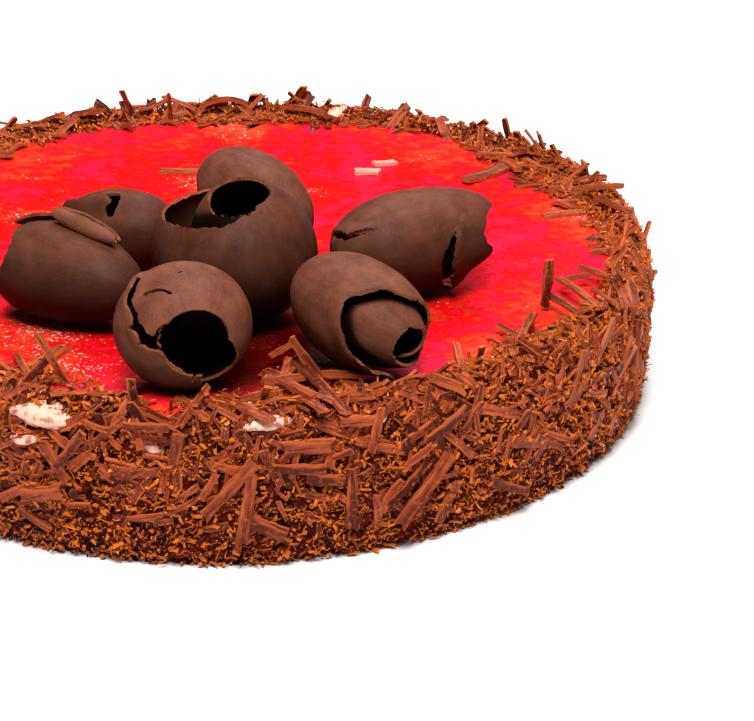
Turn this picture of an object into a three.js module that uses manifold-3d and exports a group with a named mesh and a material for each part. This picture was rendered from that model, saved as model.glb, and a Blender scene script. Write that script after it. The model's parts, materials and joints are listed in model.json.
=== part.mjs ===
// A round chocolate cake with a strawberry jelly top. Its side and rim are covered with flat chocolate
// flakes, white cream shows through them at the rim, and seven rolled chocolate curls stand on the jelly.
// Millimetres, +Z up. The origin is the middle of the foot, and the side at -Y is the front.
import * as THREE from "three";
import { mergeVertices } from "three/addons/utils/BufferGeometryUtils.js";
import Module from "manifold-3d";

const wasm = await Module();
wasm.setup();

// Driving dimensions
const CAKE_RADIUS = 121; // out to the tips of the flakes on the side
const JELLY_LEVEL = 38.5; // top of the jelly
const JELLY_THICKNESS = 2.4;
const JELLY_RADIUS = 109;
const CREAM_THICKNESS = 6;
const GAP = 0.3; // between solids that touch
const FLAKE_COAT = 3; // how far the flakes stand out from the side
const SHELL_THICKNESS = 1.3; // of a curl's rolled wall
const RIM_RISE = 2.2; // of the rim over the jelly
const EDGE_BEVEL = 0.6; // round the cream and the jelly

// Sizes that follow from them
const CORE_RADIUS = CAKE_RADIUS - FLAKE_COAT;
const RIM_CREST = JELLY_LEVEL + RIM_RISE;
const CREAM_TOP = JELLY_LEVEL - JELLY_THICKNESS - GAP;
const CREAM_BOTTOM = CREAM_TOP - CREAM_THICKNESS;
const BED_LEVEL = CREAM_BOTTOM - GAP;
const BED_RADIUS = JELLY_RADIUS + GAP;

// Finishes
const FINISH = {
  flakes: new THREE.MeshStandardMaterial({ color: 0x7a3a22, roughness: 0.7, metalness: 0 }),
  cream: new THREE.MeshStandardMaterial({ color: 0xf6e6d8, roughness: 0.6, metalness: 0 }),
  jelly: new THREE.MeshStandardMaterial({ color: 0xe0101c, roughness: 0.15, metalness: 0 }),
  curl: new THREE.MeshStandardMaterial({ color: 0x6a3a2c, roughness: 0.5, metalness: 0 }),
};

// How finely round shapes are cut into flat sides
const SIDES = { core: 56, disc: 48, tab: 10, smear: 10, smearRings: 6 };

// A seeded source of even random numbers from 0 to 1.
function randomSource(seed) {
  let state = seed >>> 0;
  return () => {
    state = (state + 0x6d2b79f5) >>> 0;
    let mixed = Math.imul(state ^ (state >>> 15), state | 1);
    mixed ^= mixed + Math.imul(mixed ^ (mixed >>> 7), mixed | 61);
    return ((mixed ^ (mixed >>> 14)) >>> 0) / 4294967296;
  };
}

const lerp = THREE.MathUtils.lerp;
const radians = THREE.MathUtils.degToRad;
const smooth = THREE.MathUtils.smoothstep;

function solidOf(geometry) {
  const bare = geometry.clone();
  bare.deleteAttribute("normal");
  bare.deleteAttribute("uv");
  const merged = mergeVertices(bare, 1e-4);
  return new wasm.Manifold(
    new wasm.Mesh({
      numProp: 3,
      vertProperties: new Float32Array(merged.attributes.position.array),
      triVerts: new Uint32Array(merged.index.array),
    }),
  );
}

function geometryOf(solid) {
  const mesh = solid.getMesh();
  const geometry = new THREE.BufferGeometry();
  geometry.setAttribute("position", new THREE.BufferAttribute(mesh.vertProperties, 3));
  geometry.setIndex(new THREE.BufferAttribute(mesh.triVerts, 1));
  geometry.computeVertexNormals();
  return geometry;
}

function meshOf(name, geometry, material) {
  const mesh = new THREE.Mesh(geometry, material);
  mesh.name = name;
  return mesh;
}

const SWAY_FADE = 4; // the radial distance over which a turned profile takes up the sway

// The cake isn't quite round: how far its outline stands in or out at an angle.
function outlineSway(angle) {
  const skew = -0.5 * Math.sin(2 * angle) * (1 + Math.cos(angle));
  return skew + 0.5 * Math.sin(3 * angle - 0.6) + 0.4 * Math.sin(7 * angle);
}

// A profile turned round the Z axis, with its outline swayed. The points run from the foot to the top.
function turned(profile, segments, swayFrom) {
  const geometry = new THREE.LatheGeometry(profile, segments);
  geometry.rotateX(Math.PI / 2);
  const place = geometry.attributes.position;
  const point = new THREE.Vector3();
  for (let i = 0; i < place.count; i++) {
    point.fromBufferAttribute(place, i);
    const radius = Math.hypot(point.x, point.y);
    const angle = Math.atan2(point.y, point.x);
    const share = smooth(radius, swayFrom, swayFrom + SWAY_FADE);
    const swayed = radius < 1e-6 ? 0 : (radius + share * outlineSway(angle)) / radius;
    place.setXYZ(i, point.x * swayed, point.y * swayed, point.z);
  }
  return geometry;
}

// The core's outline, from the middle of its foot up the side, over the rim and down to the filling's bed.
const CORE_PROFILE = [
  [0, 0],
  [CORE_RADIUS - 2.5, 0],
  [CORE_RADIUS - 0.5, 2],
  [CORE_RADIUS + 0.3, 12],
  [CORE_RADIUS, 26],
  [CORE_RADIUS - 0.6, JELLY_LEVEL - 5],
  [CORE_RADIUS - 1.6, JELLY_LEVEL - 0.5],
  [CORE_RADIUS - 3.6, RIM_CREST],
  [CORE_RADIUS - 6, RIM_CREST],
  [BED_RADIUS, JELLY_LEVEL - 0.4],
  [BED_RADIUS, BED_LEVEL],
  [0, BED_LEVEL],
].map(([radius, height]) => new THREE.Vector2(radius, height));

// The stretch of that outline that carries flakes: all but the foot and the bed.
const COAT_PATH = CORE_PROFILE.slice(2, 10);
const COAT_LENGTH = COAT_PATH.slice(1).reduce((sum, p, i) => sum + p.distanceTo(COAT_PATH[i]), 0);

// The point of the coat at a share of the way from foot to jelly, with the way up and the way out of it.
function coatAt(share, angle) {
  let rest = share * COAT_LENGTH;
  let i = 0;
  while (i < COAT_PATH.length - 2 && rest > COAT_PATH[i].distanceTo(COAT_PATH[i + 1])) {
    rest -= COAT_PATH[i].distanceTo(COAT_PATH[i + 1]);
    i++;
  }
  const along = COAT_PATH[i + 1].clone().sub(COAT_PATH[i]).normalize();
  const flat = COAT_PATH[i].clone().addScaledVector(along, rest);
  const radius = flat.x + outlineSway(angle);
  const outward = new THREE.Vector3(Math.cos(angle), Math.sin(angle), 0);
  const upward = outward.clone().multiplyScalar(along.x).setZ(along.y);
  const away = outward.clone().multiplyScalar(along.y).setZ(-along.x);
  return { at: outward.clone().multiplyScalar(radius).setZ(flat.y), upward, away };
}

// A flat flake: a thin strip that narrows to one end, lying with its long side along a direction.
function flake(size, at, along, away) {
  const geometry = new THREE.BoxGeometry(size.length, size.width, size.thickness);
  const place = geometry.attributes.position;
  for (let i = 0; i < place.count; i++) {
    if (place.getX(i) > 0) place.setY(i, place.getY(i) * size.taper);
  }
  const side = new THREE.Vector3().crossVectors(away, along).normalize();
  const up = new THREE.Vector3().crossVectors(along, side).normalize();
  geometry.applyMatrix4(new THREE.Matrix4().makeBasis(along, side, up).setPosition(at));
  return geometry;
}

// The flakes on the side and rim. `hold` is the least volume that has to sit in the core, `clearance` the
// least height over the ground, `lean` how steeply a flake stands off the coat in degrees, and `lift` how far
// out it is set. `spread` is the pair of steps of an even two-way sequence.
const FLAKES = {
  count: 230,
  seed: 11,
  longest: 25,
  shortest: 9,
  width: [2.6, 5.2],
  thickness: [1, 1.4],
  taper: [0.45, 1],
  lean: [4, 17],
  lift: [0.1, 0.9],
  hold: 4,
  clearance: 0.4,
  spread: [0.7548776662, 0.569840291],
};
const LENGTH_FALL = 0.7; // the power by which the flakes' length falls off
const WIDTH_FALL = 1.4; // the power that makes wide flakes rare

// The sizes of flake number i: the longest come first.
function flakeSize(i, random) {
  const share = i / (FLAKES.count - 1);
  return {
    length: lerp(FLAKES.longest, FLAKES.shortest, share ** LENGTH_FALL) * lerp(0.9, 1.1, random()),
    width: lerp(...FLAKES.width, random() ** WIDTH_FALL),
    thickness: lerp(...FLAKES.thickness, random()),
    taper: lerp(...FLAKES.taper, random()),
  };
}

// Flakes stuck all over the side and rim, spread by a sequence that fills the coat evenly. A flake that has
// no hold on the core, or that would reach another solid or the ground, is left off.
function coatFlakes(onto, keepClear) {
  const random = randomSource(FLAKES.seed);
  const made = [];
  for (let i = 0; i < FLAKES.count; i++) {
    const angle = 2 * Math.PI * ((i * FLAKES.spread[0]) % 1);
    const share = (0.5 + i * FLAKES.spread[1]) % 1;
    const { at, upward, away } = coatAt(share, angle);
    const size = flakeSize(i, random);
    const sideways = new THREE.Vector3().crossVectors(upward, away);
    const turn = Math.PI * random();
    const along = sideways.multiplyScalar(Math.cos(turn)).addScaledVector(upward, Math.sin(turn));
    const lean = radians(lerp(...FLAKES.lean, random())) * (random() < 0.5 ? -1 : 1);
    const leaning = along.clone().multiplyScalar(Math.cos(lean)).addScaledVector(away, Math.sin(lean));
    const lifted = at.clone().addScaledVector(away, lerp(...FLAKES.lift, random()));
    const solid = solidOf(flake(size, lifted, leaning, away));
    const held = solid.intersect(onto).volume() > FLAKES.hold;
    const raised = solid.boundingBox().min[2] > FLAKES.clearance;
    const clear = keepClear.every((other) => solid.intersect(other).isEmpty());
    if (held && raised && clear) made.push(solid);
  }
  return made;
}

// The curls: shavings rolled up round their own axis and drawn in towards the ends. `at` is the middle in
// plan, `heading` and `rise` turn the axis from +X in degrees, `start` and `way` say where round the axis the
// outer edge lies and which way the roll winds in, `tighten` and `shorten` are the shares of radius and
// length lost in a turn, `bulge` is where along the half length the roll is thickest and `squash` its height
// to its width. `rear` and `front` are the two ends.
const CURLS = {
  curl_far_left: {
    at: [-40.3, -54.9], heading: -33.6, rise: 0, length: 46.8, radius: 14.9, turns: 1.2, tighten: 0.12,
    shorten: 0.12, bulge: -0.34, squash: 0.95, start: 95, way: -1, rear: end(0.8), front: end(0.99),
  },
  curl_back_left: {
    at: [-29.7, -20], heading: -18, rise: -1.6, length: 37, radius: 12.2, turns: 1.2, tighten: 0.12,
    shorten: 0.12, bulge: 0.13, squash: 1, start: 100, way: -1, rear: end(0.99), front: end(0.99),
  },
  curl_back: {
    at: [7.8, -7.8], heading: -45.4, rise: -19, length: 42, radius: 13.3, turns: 1.2, tighten: 0.12,
    shorten: 0.12, bulge: 0, squash: 1.04, start: 270, way: -1, rear: end(0.99), front: end(0.99),
  },
  curl_centre: {
    at: [3.5, -54], heading: -110, rise: 80, length: 34, radius: 27, turns: 1.5, tighten: 0.38,
    shorten: 0, bulge: 0, squash: 1, start: 100, way: 1,
    rear: end(0.84), front: end(0.9, { at: 0.05, low: 0.3, before: 1, after: 0.5 }),
  },
  curl_front: {
    at: [-11.5, -95.8], heading: -80, rise: 9, length: 36, radius: 18, turns: 1.45, tighten: 0.12,
    shorten: 0.12, bulge: 0, squash: 0.9, start: 285, way: -1,
    rear: end(0.99), front: end(0.84, { at: 0.45, low: 0.03, before: 0.18, after: 0.02 }),
  },
  curl_front_right: {
    at: [32, -88], heading: -49, rise: -10, length: 44, radius: 14.3, turns: 1.7, tighten: 0.16,
    shorten: 0.1, bulge: 0, squash: 1, start: 270, way: -1,
    rear: end(0.99), front: end(0.9, { at: 0.36, low: 0.14, before: 0.3, after: 0.5 }),
  },
  curl_right: {
    at: [47.4, -41.3], heading: 23, rise: 0, length: 48.2, radius: 15.5, turns: 1.2, tighten: 0.1,
    shorten: 0.1, bulge: 0, squash: 0.94, start: 290, way: -1, rear: end(0.99), front: end(0.75),
  },
};
const CURL_GRID = { along: 8, around: 16 };

// An end of a curl: `close` is how far it draws in, 1 being shut. A torn end has a dip: at the turn `at` it
// stops at the share `low` of the half length, and it is whole again `before` and `after` that many turns.
function end(close, dip = { at: 0, low: 1, before: 1, after: 1 }) {
  return { close, dip };
}

// The share of the half length that is left beside a dip.
function dipReach({ at, low, before, after }, turns) {
  const away = turns < at ? (at - turns) / before : (turns - at) / after;
  return lerp(low, 1, smooth(away, 0, 1));
}

// A point of a curl's outer face (or its inner one), before it is turned and set down: x runs along the axis.
function curlPoint(curl, along, turns, inside) {
  const x = along * dipReach((along > 0 ? curl.front : curl.rear).dip, turns);
  const fromBulge = x - curl.bulge;
  const pinch = fromBulge > 0 ? curl.front.close / (1 - curl.bulge) : curl.rear.close / (1 + curl.bulge);
  const barrel = Math.sqrt(1 - (pinch * fromBulge) ** 2);
  const wound = curl.radius * (1 - curl.tighten * turns);
  const halfLength = (curl.length / 2) * (1 - curl.shorten * turns);
  const slope = (-wound * pinch ** 2 * fromBulge) / barrel / halfLength;
  const steep = Math.hypot(1, slope);
  const inset = inside ? SHELL_THICKNESS : 0;
  const angle = radians(curl.start) + curl.way * 2 * Math.PI * turns;
  const radius = wound * barrel - inset / steep;
  const axial = x * halfLength + (inset * slope) / steep;
  return new THREE.Vector3(axial, radius * Math.cos(angle), radius * Math.sin(angle));
}

// A curl as one closed shell: the outer face, the inner face and the strip that joins them all round.
function curlGeometry(curl) {
  const { along, around } = CURL_GRID;
  const points = [];
  for (const inside of [false, true]) {
    for (let j = 0; j <= around; j++) {
      for (let i = 0; i <= along; i++) {
        const closer = -Math.cos((Math.PI * i) / along);
        points.push(curlPoint(curl, closer, (curl.turns * j) / around, inside));
      }
    }
  }
  const faceSize = (along + 1) * (around + 1);
  const outer = (i, j) => j * (along + 1) + i;
  const inner = (i, j) => faceSize + outer(i, j);
  const index = [];
  const quad = (a, b, c, d) => index.push(a, b, c, a, c, d);
  for (let j = 0; j < around; j++) {
    for (let i = 0; i < along; i++) {
      quad(outer(i, j), outer(i + 1, j), outer(i + 1, j + 1), outer(i, j + 1));
      quad(inner(i, j + 1), inner(i + 1, j + 1), inner(i + 1, j), inner(i, j));
    }
    quad(outer(0, j + 1), inner(0, j + 1), inner(0, j), outer(0, j));
    quad(outer(along, j), inner(along, j), inner(along, j + 1), outer(along, j + 1));
  }
  for (let i = 0; i < along; i++) {
    quad(outer(i, 0), inner(i, 0), inner(i + 1, 0), outer(i + 1, 0));
    quad(outer(i + 1, around), inner(i + 1, around), inner(i, around), outer(i, around));
  }
  if (curl.way > 0) index.reverse();
  const geometry = new THREE.BufferGeometry().setFromPoints(points);
  geometry.setIndex(index);
  return geometry;
}

// A curl turned to lie as it does and set down on the jelly.
function placedCurl(curl) {
  const geometry = curlGeometry(curl);
  geometry.scale(1, 1, curl.squash);
  geometry.rotateY(-radians(curl.rise));
  geometry.rotateZ(radians(curl.heading));
  geometry.computeBoundingBox();
  geometry.translate(curl.at[0], curl.at[1], JELLY_LEVEL + GAP - geometry.boundingBox.min.z);
  geometry.computeVertexNormals();
  return geometry;
}

// The little rolled tab torn up from the top of the far left curl.
const TAB = { length: 17, radius: 3.3, at: [-38.4, -55, 65.8], heading: -36, rise: -9 };

function tabSolid() {
  const geometry = new THREE.CylinderGeometry(TAB.radius, TAB.radius, TAB.length, SIDES.tab);
  geometry.rotateZ(-Math.PI / 2);
  geometry.rotateY(-radians(TAB.rise));
  geometry.rotateZ(radians(TAB.heading));
  geometry.translate(...TAB.at);
  return solidOf(geometry);
}

// Flakes that fell on the jelly: place in plan, heading in degrees, length and width.
const JELLY_FLAKES = [
  [-14, 56, -8, 13, 3.6],
  [43, 52, -6, 10, 4],
  [49, 59, 10, 8, 3.6],
  [79, 47, 40, 20, 5],
  [68, 62, 20, 15, 3.4],
  [98, 12, 14, 13, 3],
  [-47, -79, 60, 17, 4.4],
  [-75, 42, -25, 12, 3.4],
  [-62, 70, 35, 14, 3.6],
  [10, 90, 5, 13, 3.6],
  [-90, -15, 80, 12, 3.4],
];

const FALLEN = { lift: 0.3, slope: 0.06, thickness: 1.3, taper: 0.75 };

function jellyFlake([x, y, heading, length, width]) {
  const turn = radians(heading);
  const along = new THREE.Vector3(Math.cos(turn), Math.sin(turn), FALLEN.slope).normalize();
  const at = new THREE.Vector3(x, y, JELLY_LEVEL + FALLEN.lift);
  const size = { length, width, thickness: FALLEN.thickness, taper: FALLEN.taper };
  return solidOf(flake(size, at, along, new THREE.Vector3(0, 0, 1)));
}

// The spots where cream is pushed out through the flakes: angle round the cake in degrees and sizes.
const SMEARS = [
  { angle: -112, height: 36, width: 17, depth: 7 },
  { angle: -100, height: 31, width: 9, depth: 4.4 },
  { angle: -84, height: 36, width: 14, depth: 5 },
  { angle: -73, height: 36.5, width: 8, depth: 5 },
  { angle: 71, height: 37, width: 9, depth: 5 },
];
const SMEAR_REACH = 11; // out from the edge of the jelly
const SMEAR_HEADROOM = 10; // over the jelly, kept free of cream

function smearSolid(spot, grown) {
  const geometry = new THREE.SphereGeometry(1, SIDES.smear, SIDES.smearRings);
  geometry.scale(SMEAR_REACH + grown, spot.width / 2 + grown, spot.depth / 2 + grown);
  geometry.translate(JELLY_RADIUS, 0, spot.height);
  geometry.rotateZ(radians(spot.angle));
  return solidOf(geometry);
}

function discSolid(radius, bottom, top, bevel) {
  const profile = [
    [0, bottom],
    [radius - bevel, bottom],
    [radius, bottom + bevel],
    [radius, top - bevel],
    [radius - bevel, top],
    [0, top],
  ].map(([r, z]) => new THREE.Vector2(r, z));
  return solidOf(turned(profile, SIDES.disc, CAKE_RADIUS));
}

function joined(solids) {
  return solids.reduce((whole, piece) => whole.add(piece));
}

const curls = Object.entries(CURLS).map(([name, curl]) => [name, solidOf(placedCurl(curl))]);
curls[0][1] = curls[0][1].add(tabSolid());
const jelly = joined([
  discSolid(JELLY_RADIUS, JELLY_LEVEL - JELLY_THICKNESS, JELLY_LEVEL, EDGE_BEVEL),
  ...JELLY_FLAKES.map(jellyFlake),
]);
const overJelly = discSolid(BED_RADIUS, CREAM_TOP, JELLY_LEVEL + SMEAR_HEADROOM, GAP);
const cream = joined([
  discSolid(JELLY_RADIUS, CREAM_BOTTOM, CREAM_TOP, EDGE_BEVEL),
  ...SMEARS.map((spot) => smearSolid(spot, 0).subtract(overJelly)),
]);
const smearHoles = joined(SMEARS.map((spot) => smearSolid(spot, GAP)));
const core = solidOf(turned(CORE_PROFILE, SIDES.core, BED_RADIUS + 1)).subtract(smearHoles);
const coat = coatFlakes(core, [jelly, cream, smearHoles, ...curls.map(([, solid]) => solid)]);
const body = joined([core, ...coat]);

const cake = new THREE.Group();
cake.add(
  meshOf("cake_body", geometryOf(body), FINISH.flakes),
  meshOf("cream", geometryOf(cream), FINISH.cream),
  meshOf("jelly", geometryOf(jelly), FINISH.jelly),
  ...curls.map(([name, solid]) => meshOf(name, geometryOf(solid), FINISH.curl)),
);
export default cake;
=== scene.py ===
"""A round chocolate cake with a strawberry jelly top, dressed over its solids.

The side and rim carry chocolate strips, slivers, shreds and crumbs, cream shows through them in a few spots,
and seven rolled chocolate curls stand on the jelly. Metres, +Z up, with the front of the cake at -Y.
"""

import json
import math
import random
from typing import NamedTuple

import bmesh
import bpy
from bpy.props import FloatProperty, FloatVectorProperty, IntProperty, PointerProperty
from mathutils import Matrix, Vector, noise

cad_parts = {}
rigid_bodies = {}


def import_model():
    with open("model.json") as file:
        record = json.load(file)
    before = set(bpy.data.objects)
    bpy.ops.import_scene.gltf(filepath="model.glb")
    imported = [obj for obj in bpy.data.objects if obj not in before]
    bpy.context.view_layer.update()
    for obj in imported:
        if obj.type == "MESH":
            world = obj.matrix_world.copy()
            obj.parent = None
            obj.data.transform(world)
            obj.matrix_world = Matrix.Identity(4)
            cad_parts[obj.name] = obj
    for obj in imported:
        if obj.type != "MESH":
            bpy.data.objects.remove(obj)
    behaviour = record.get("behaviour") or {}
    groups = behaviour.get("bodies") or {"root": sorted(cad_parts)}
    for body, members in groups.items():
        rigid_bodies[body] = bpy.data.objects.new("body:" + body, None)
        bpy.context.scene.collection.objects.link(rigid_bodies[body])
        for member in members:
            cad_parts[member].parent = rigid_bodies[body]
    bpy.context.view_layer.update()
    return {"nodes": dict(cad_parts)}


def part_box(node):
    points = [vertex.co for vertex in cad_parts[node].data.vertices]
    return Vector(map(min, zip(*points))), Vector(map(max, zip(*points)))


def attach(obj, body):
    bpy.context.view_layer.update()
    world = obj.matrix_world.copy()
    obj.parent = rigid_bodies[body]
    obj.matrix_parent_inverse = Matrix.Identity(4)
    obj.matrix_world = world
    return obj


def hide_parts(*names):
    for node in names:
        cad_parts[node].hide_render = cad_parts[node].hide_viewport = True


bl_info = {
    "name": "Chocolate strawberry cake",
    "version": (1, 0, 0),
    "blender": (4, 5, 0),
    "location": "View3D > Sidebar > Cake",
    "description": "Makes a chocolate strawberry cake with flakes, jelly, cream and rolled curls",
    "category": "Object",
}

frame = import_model()
MM = 0.001
GAP = 0.3 * MM  # between solids that touch
CURL_NAMES = sorted(name for name in frame["nodes"] if name.startswith("curl_"))
JELLY_LOW, JELLY_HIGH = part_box("jelly")
JELLY_RADIUS = (JELLY_HIGH.x - JELLY_LOW.x) / 2
JELLY_LEVEL = min(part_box(name)[0].z for name in CURL_NAMES) - GAP


def linear(hex_colour):
    """An sRGB hex colour as linear red, green, blue and alpha."""
    parts = [int(hex_colour[i:i + 2], 16) / 255 for i in (1, 3, 5)]
    return tuple(c / 12.92 if c <= 0.04045 else ((c + 0.055) / 1.055) ** 2.4 for c in parts) + (1.0,)


# Sizes and colours that a user would change


class CakeSizes(bpy.types.PropertyGroup):
    """Main sizes of the cake."""

    jelly_radius: FloatProperty(
        name="Jelly radius", description="From the middle to the edge of the jelly",
        default=JELLY_RADIUS, unit="LENGTH", subtype="DISTANCE")
    jelly_level: FloatProperty(
        name="Jelly level", description="Height of the top of the jelly",
        default=JELLY_LEVEL, unit="LENGTH", subtype="DISTANCE")
    jelly_thickness: FloatProperty(
        name="Jelly thickness", description="Depth of the jelly on the cream",
        default=2.4 * MM, unit="LENGTH", subtype="DISTANCE")
    cream_thickness: FloatProperty(
        name="Cream thickness", description="Depth of the cream under the jelly",
        default=6 * MM, unit="LENGTH", subtype="DISTANCE")
    rim_width: FloatProperty(
        name="Rim width", description="From the edge of the jelly out to the side of the core",
        default=9.6 * MM, unit="LENGTH", subtype="DISTANCE")
    rim_rise: FloatProperty(
        name="Rim rise", description="Height of the rim over the jelly",
        default=2.2 * MM, unit="LENGTH", subtype="DISTANCE")
    shell: FloatProperty(
        name="Curl wall", description="Thickness of a curl's rolled wall",
        default=0.8 * MM, unit="LENGTH", subtype="DISTANCE")


class CoatCounts(bpy.types.PropertyGroup):
    """How many pieces of each kind lie on a square centimetre of the coat."""

    strips: FloatProperty(name="Strips", description="Long strips on a square centimetre", default=4.0, min=0)
    slivers: FloatProperty(
        name="Slivers", description="Short strips on a square centimetre", default=10, min=0)
    chips: FloatProperty(name="Chips", description="Flat chips on a square centimetre", default=48, min=0)
    shreds: FloatProperty(name="Shreds", description="Fine shreds on a square centimetre", default=36, min=0)
    crumbs: FloatProperty(name="Crumbs", description="Crumbs on a square centimetre", default=66, min=0)
    grit: FloatProperty(name="Grit", description="Fine crumbs on a square centimetre", default=76, min=0)
    seed: IntProperty(name="Seed", description="Start of every random draw", default=7, min=1)


class CakeColours(bpy.types.PropertyGroup):
    """Colours of the cake's finishes."""

    flake: FloatVectorProperty(
        name="Flake", description="Face of a flake", subtype="COLOR", size=4, default=linear("#9e4526"))
    flake_dark: FloatVectorProperty(
        name="Dark flake", description="Face of the darkest flakes", subtype="COLOR", size=4,
        default=linear("#421004"))
    broken: FloatVectorProperty(
        name="Broken edge", description="Crumbly break of a flake", subtype="COLOR", size=4,
        default=linear("#c86232"))
    crumb: FloatVectorProperty(
        name="Crumb", description="Pale crumbs", subtype="COLOR", size=4, default=linear("#d06614"))
    crumb_dark: FloatVectorProperty(
        name="Dark crumb", description="Dark crumbs", subtype="COLOR", size=4, default=linear("#681404"))
    # The core's darkest colour: dark chocolate, with painted shade that darkens the pits of its relief down
    # to it.
    gap: FloatVectorProperty(
        name="Gap", description="Deep gaps of the coat", subtype="COLOR", size=4, default=linear("#200501"))
    cream: FloatVectorProperty(
        name="Cream", description="Whipped cream", subtype="COLOR", size=4, default=linear("#f4d0ba"))
    jelly: FloatVectorProperty(
        name="Jelly", description="Strawberry jelly", subtype="COLOR", size=4, default=linear("#dc0a08"))
    jelly_deep: FloatVectorProperty(
        name="Deep jelly", description="Jelly where it is thickest", subtype="COLOR", size=4,
        default=linear("#b00202"))
    jelly_pale: FloatVectorProperty(
        name="Pale jelly", description="Jelly where the cream shines through", subtype="COLOR", size=4,
        default=linear("#f45030"))
    jelly_pink: FloatVectorProperty(
        name="Pink jelly", description="Jelly where the berry juice has soaked into the cream",
        subtype="COLOR", size=4, default=linear("#e01a48"))
    curl: FloatVectorProperty(
        name="Curl", description="Face of a curl", subtype="COLOR", size=4, default=linear("#784532"))
    curl_dark: FloatVectorProperty(
        name="Dark curl", description="Darker streaks of a curl", subtype="COLOR", size=4,
        default=linear("#5a2e20"))
    curl_torn: FloatVectorProperty(
        name="Torn edge", description="Torn edge of a curl", subtype="COLOR", size=4,
        default=linear("#8c4c2a"))


# Helpers for node trees and meshes


def add(tree, kind, inputs=(), **settings):
    """A node of a kind in a tree, with its settings, and its inputs linked to sockets or set to values."""
    node = tree.nodes.new(kind)
    for name, value in settings.items():
        setattr(node, name, value)
    shown = [socket for socket in node.inputs if socket.enabled]
    for key, value in inputs.items() if isinstance(inputs, dict) else enumerate(inputs):
        socket = shown[key] if isinstance(key, int) else next(s for s in shown if s.name == key)
        if isinstance(value, bpy.types.Node):
            value = next(s for s in value.outputs if s.enabled)
        if isinstance(value, bpy.types.NodeSocket):
            tree.links.new(value, socket)
        else:
            socket.default_value = value
    return node


def new_tree(name, inputs):
    """A Geometry Nodes tree with a geometry input and the named inputs, and the sockets that give them."""
    tree = bpy.data.node_groups.new(name, "GeometryNodeTree")
    tree.interface.new_socket("Geometry", in_out="INPUT", socket_type="NodeSocketGeometry")
    for label, kind in inputs.items():
        tree.interface.new_socket(label, in_out="INPUT", socket_type="NodeSocket" + kind)
    tree.interface.new_socket("Geometry", in_out="OUTPUT", socket_type="NodeSocketGeometry")
    return tree, add(tree, "NodeGroupInput").outputs


def new_material(name):
    """A material with an empty tree, and that tree."""
    material = bpy.data.materials.new(name)
    material.use_nodes = True
    material.node_tree.nodes.clear()
    return material, material.node_tree


def new_object(name, mesh):
    """An object of that name and mesh, linked to the scene."""
    obj = bpy.data.objects.new(name, mesh)
    bpy.context.scene.collection.objects.link(obj)
    return obj


def new_mesh(name, points, faces):
    """A mesh of that name from points and faces."""
    mesh = bpy.data.meshes.new(name)
    mesh.from_pydata(points, [], faces)
    mesh.validate()
    return mesh


def settle(obj):
    """Turns an object's evaluated form into its plain mesh and removes its modifiers."""
    depsgraph = bpy.context.evaluated_depsgraph_get()
    evaluated = obj.evaluated_get(depsgraph)
    mesh = bpy.data.meshes.new_from_object(evaluated, preserve_all_data_layers=True, depsgraph=depsgraph)
    obj.modifiers.clear()
    obj.data = mesh


def run_tree(obj, tree, values):
    """Runs a tree on an object with those inputs and keeps the result as the object's mesh."""
    modifier = obj.modifiers.new(tree.name, "NODES")
    modifier.node_group = tree
    for item in tree.interface.items_tree:
        if item.in_out == "INPUT" and item.name in values:
            modifier[item.identifier] = values[item.name]
    settle(obj)


def hand_over(obj, slot, *nodes):
    """Makes a finished piece ride on the cake and stand for its solids, which it hides; the slot is not used.
    """
    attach(obj, "root")
    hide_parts(*nodes)


def smoothstep(value, low, high):
    """0 below low, 1 above high and a smooth rise between."""
    share = min(1.0, max(0.0, (value - low) / (high - low)))
    return share * share * (3 - 2 * share)


def lerp(low, high, share):
    """The value a share of the way from low to high."""
    return low + (high - low) * share


def value_on(line, at):
    """The value of a line of (place, value) points at a place, straight between the points."""
    for (low, value), (high, further) in zip(line, line[1:]):
        if low <= at < high:
            return lerp(value, further, (at - low) / (high - low))
    return line[0][1] if at < line[0][0] else line[-1][1]


def turn_between(angle, degrees):
    """The turn in degrees from a place given in degrees to an angle in radians, the short way round."""
    return (math.degrees(angle) - degrees + 180) % 360 - 180


# Shape of the cake


def outline_sway(angle):
    """How far the cake's outline stands in or out at an angle, as it isn't quite round."""
    skew = -0.5 * math.sin(2 * angle) * (1 + math.cos(angle))
    return (skew + 0.5 * math.sin(3 * angle - 0.6) + 0.4 * math.sin(7 * angle)) * MM


def core_profile(sizes):
    """The core's outline up its side, over the rim and down to the edge of the jelly."""
    core = sizes.jelly_radius + sizes.rim_width
    level = sizes.jelly_level
    crest = level + sizes.rim_rise
    return [
        (core - 3.5 * MM, 0),
        (core - 1.2 * MM, 2.5 * MM),
        (core, 12 * MM),
        (core, 26 * MM),
        (core - 0.6 * MM, level - 5 * MM),
        (core - 1.6 * MM, level - 0.5 * MM),
        (core - 3.6 * MM, crest),
        (core - 6 * MM, crest),
        (sizes.jelly_radius + GAP, level - 0.4 * MM),
    ]


def stepped(profile, step):
    """A profile with points added so that none are further apart than a step."""
    points = [Vector(profile[0])]
    for end in map(Vector, profile[1:]):
        start = points[-1]
        parts = max(1, math.ceil((end - start).length / step))
        points += [start.lerp(end, i / parts) for i in range(1, parts + 1)]
    return points


NO_SWAY = 1.0  # a radius in metres far outside the cake, so that nothing turned sways


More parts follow.
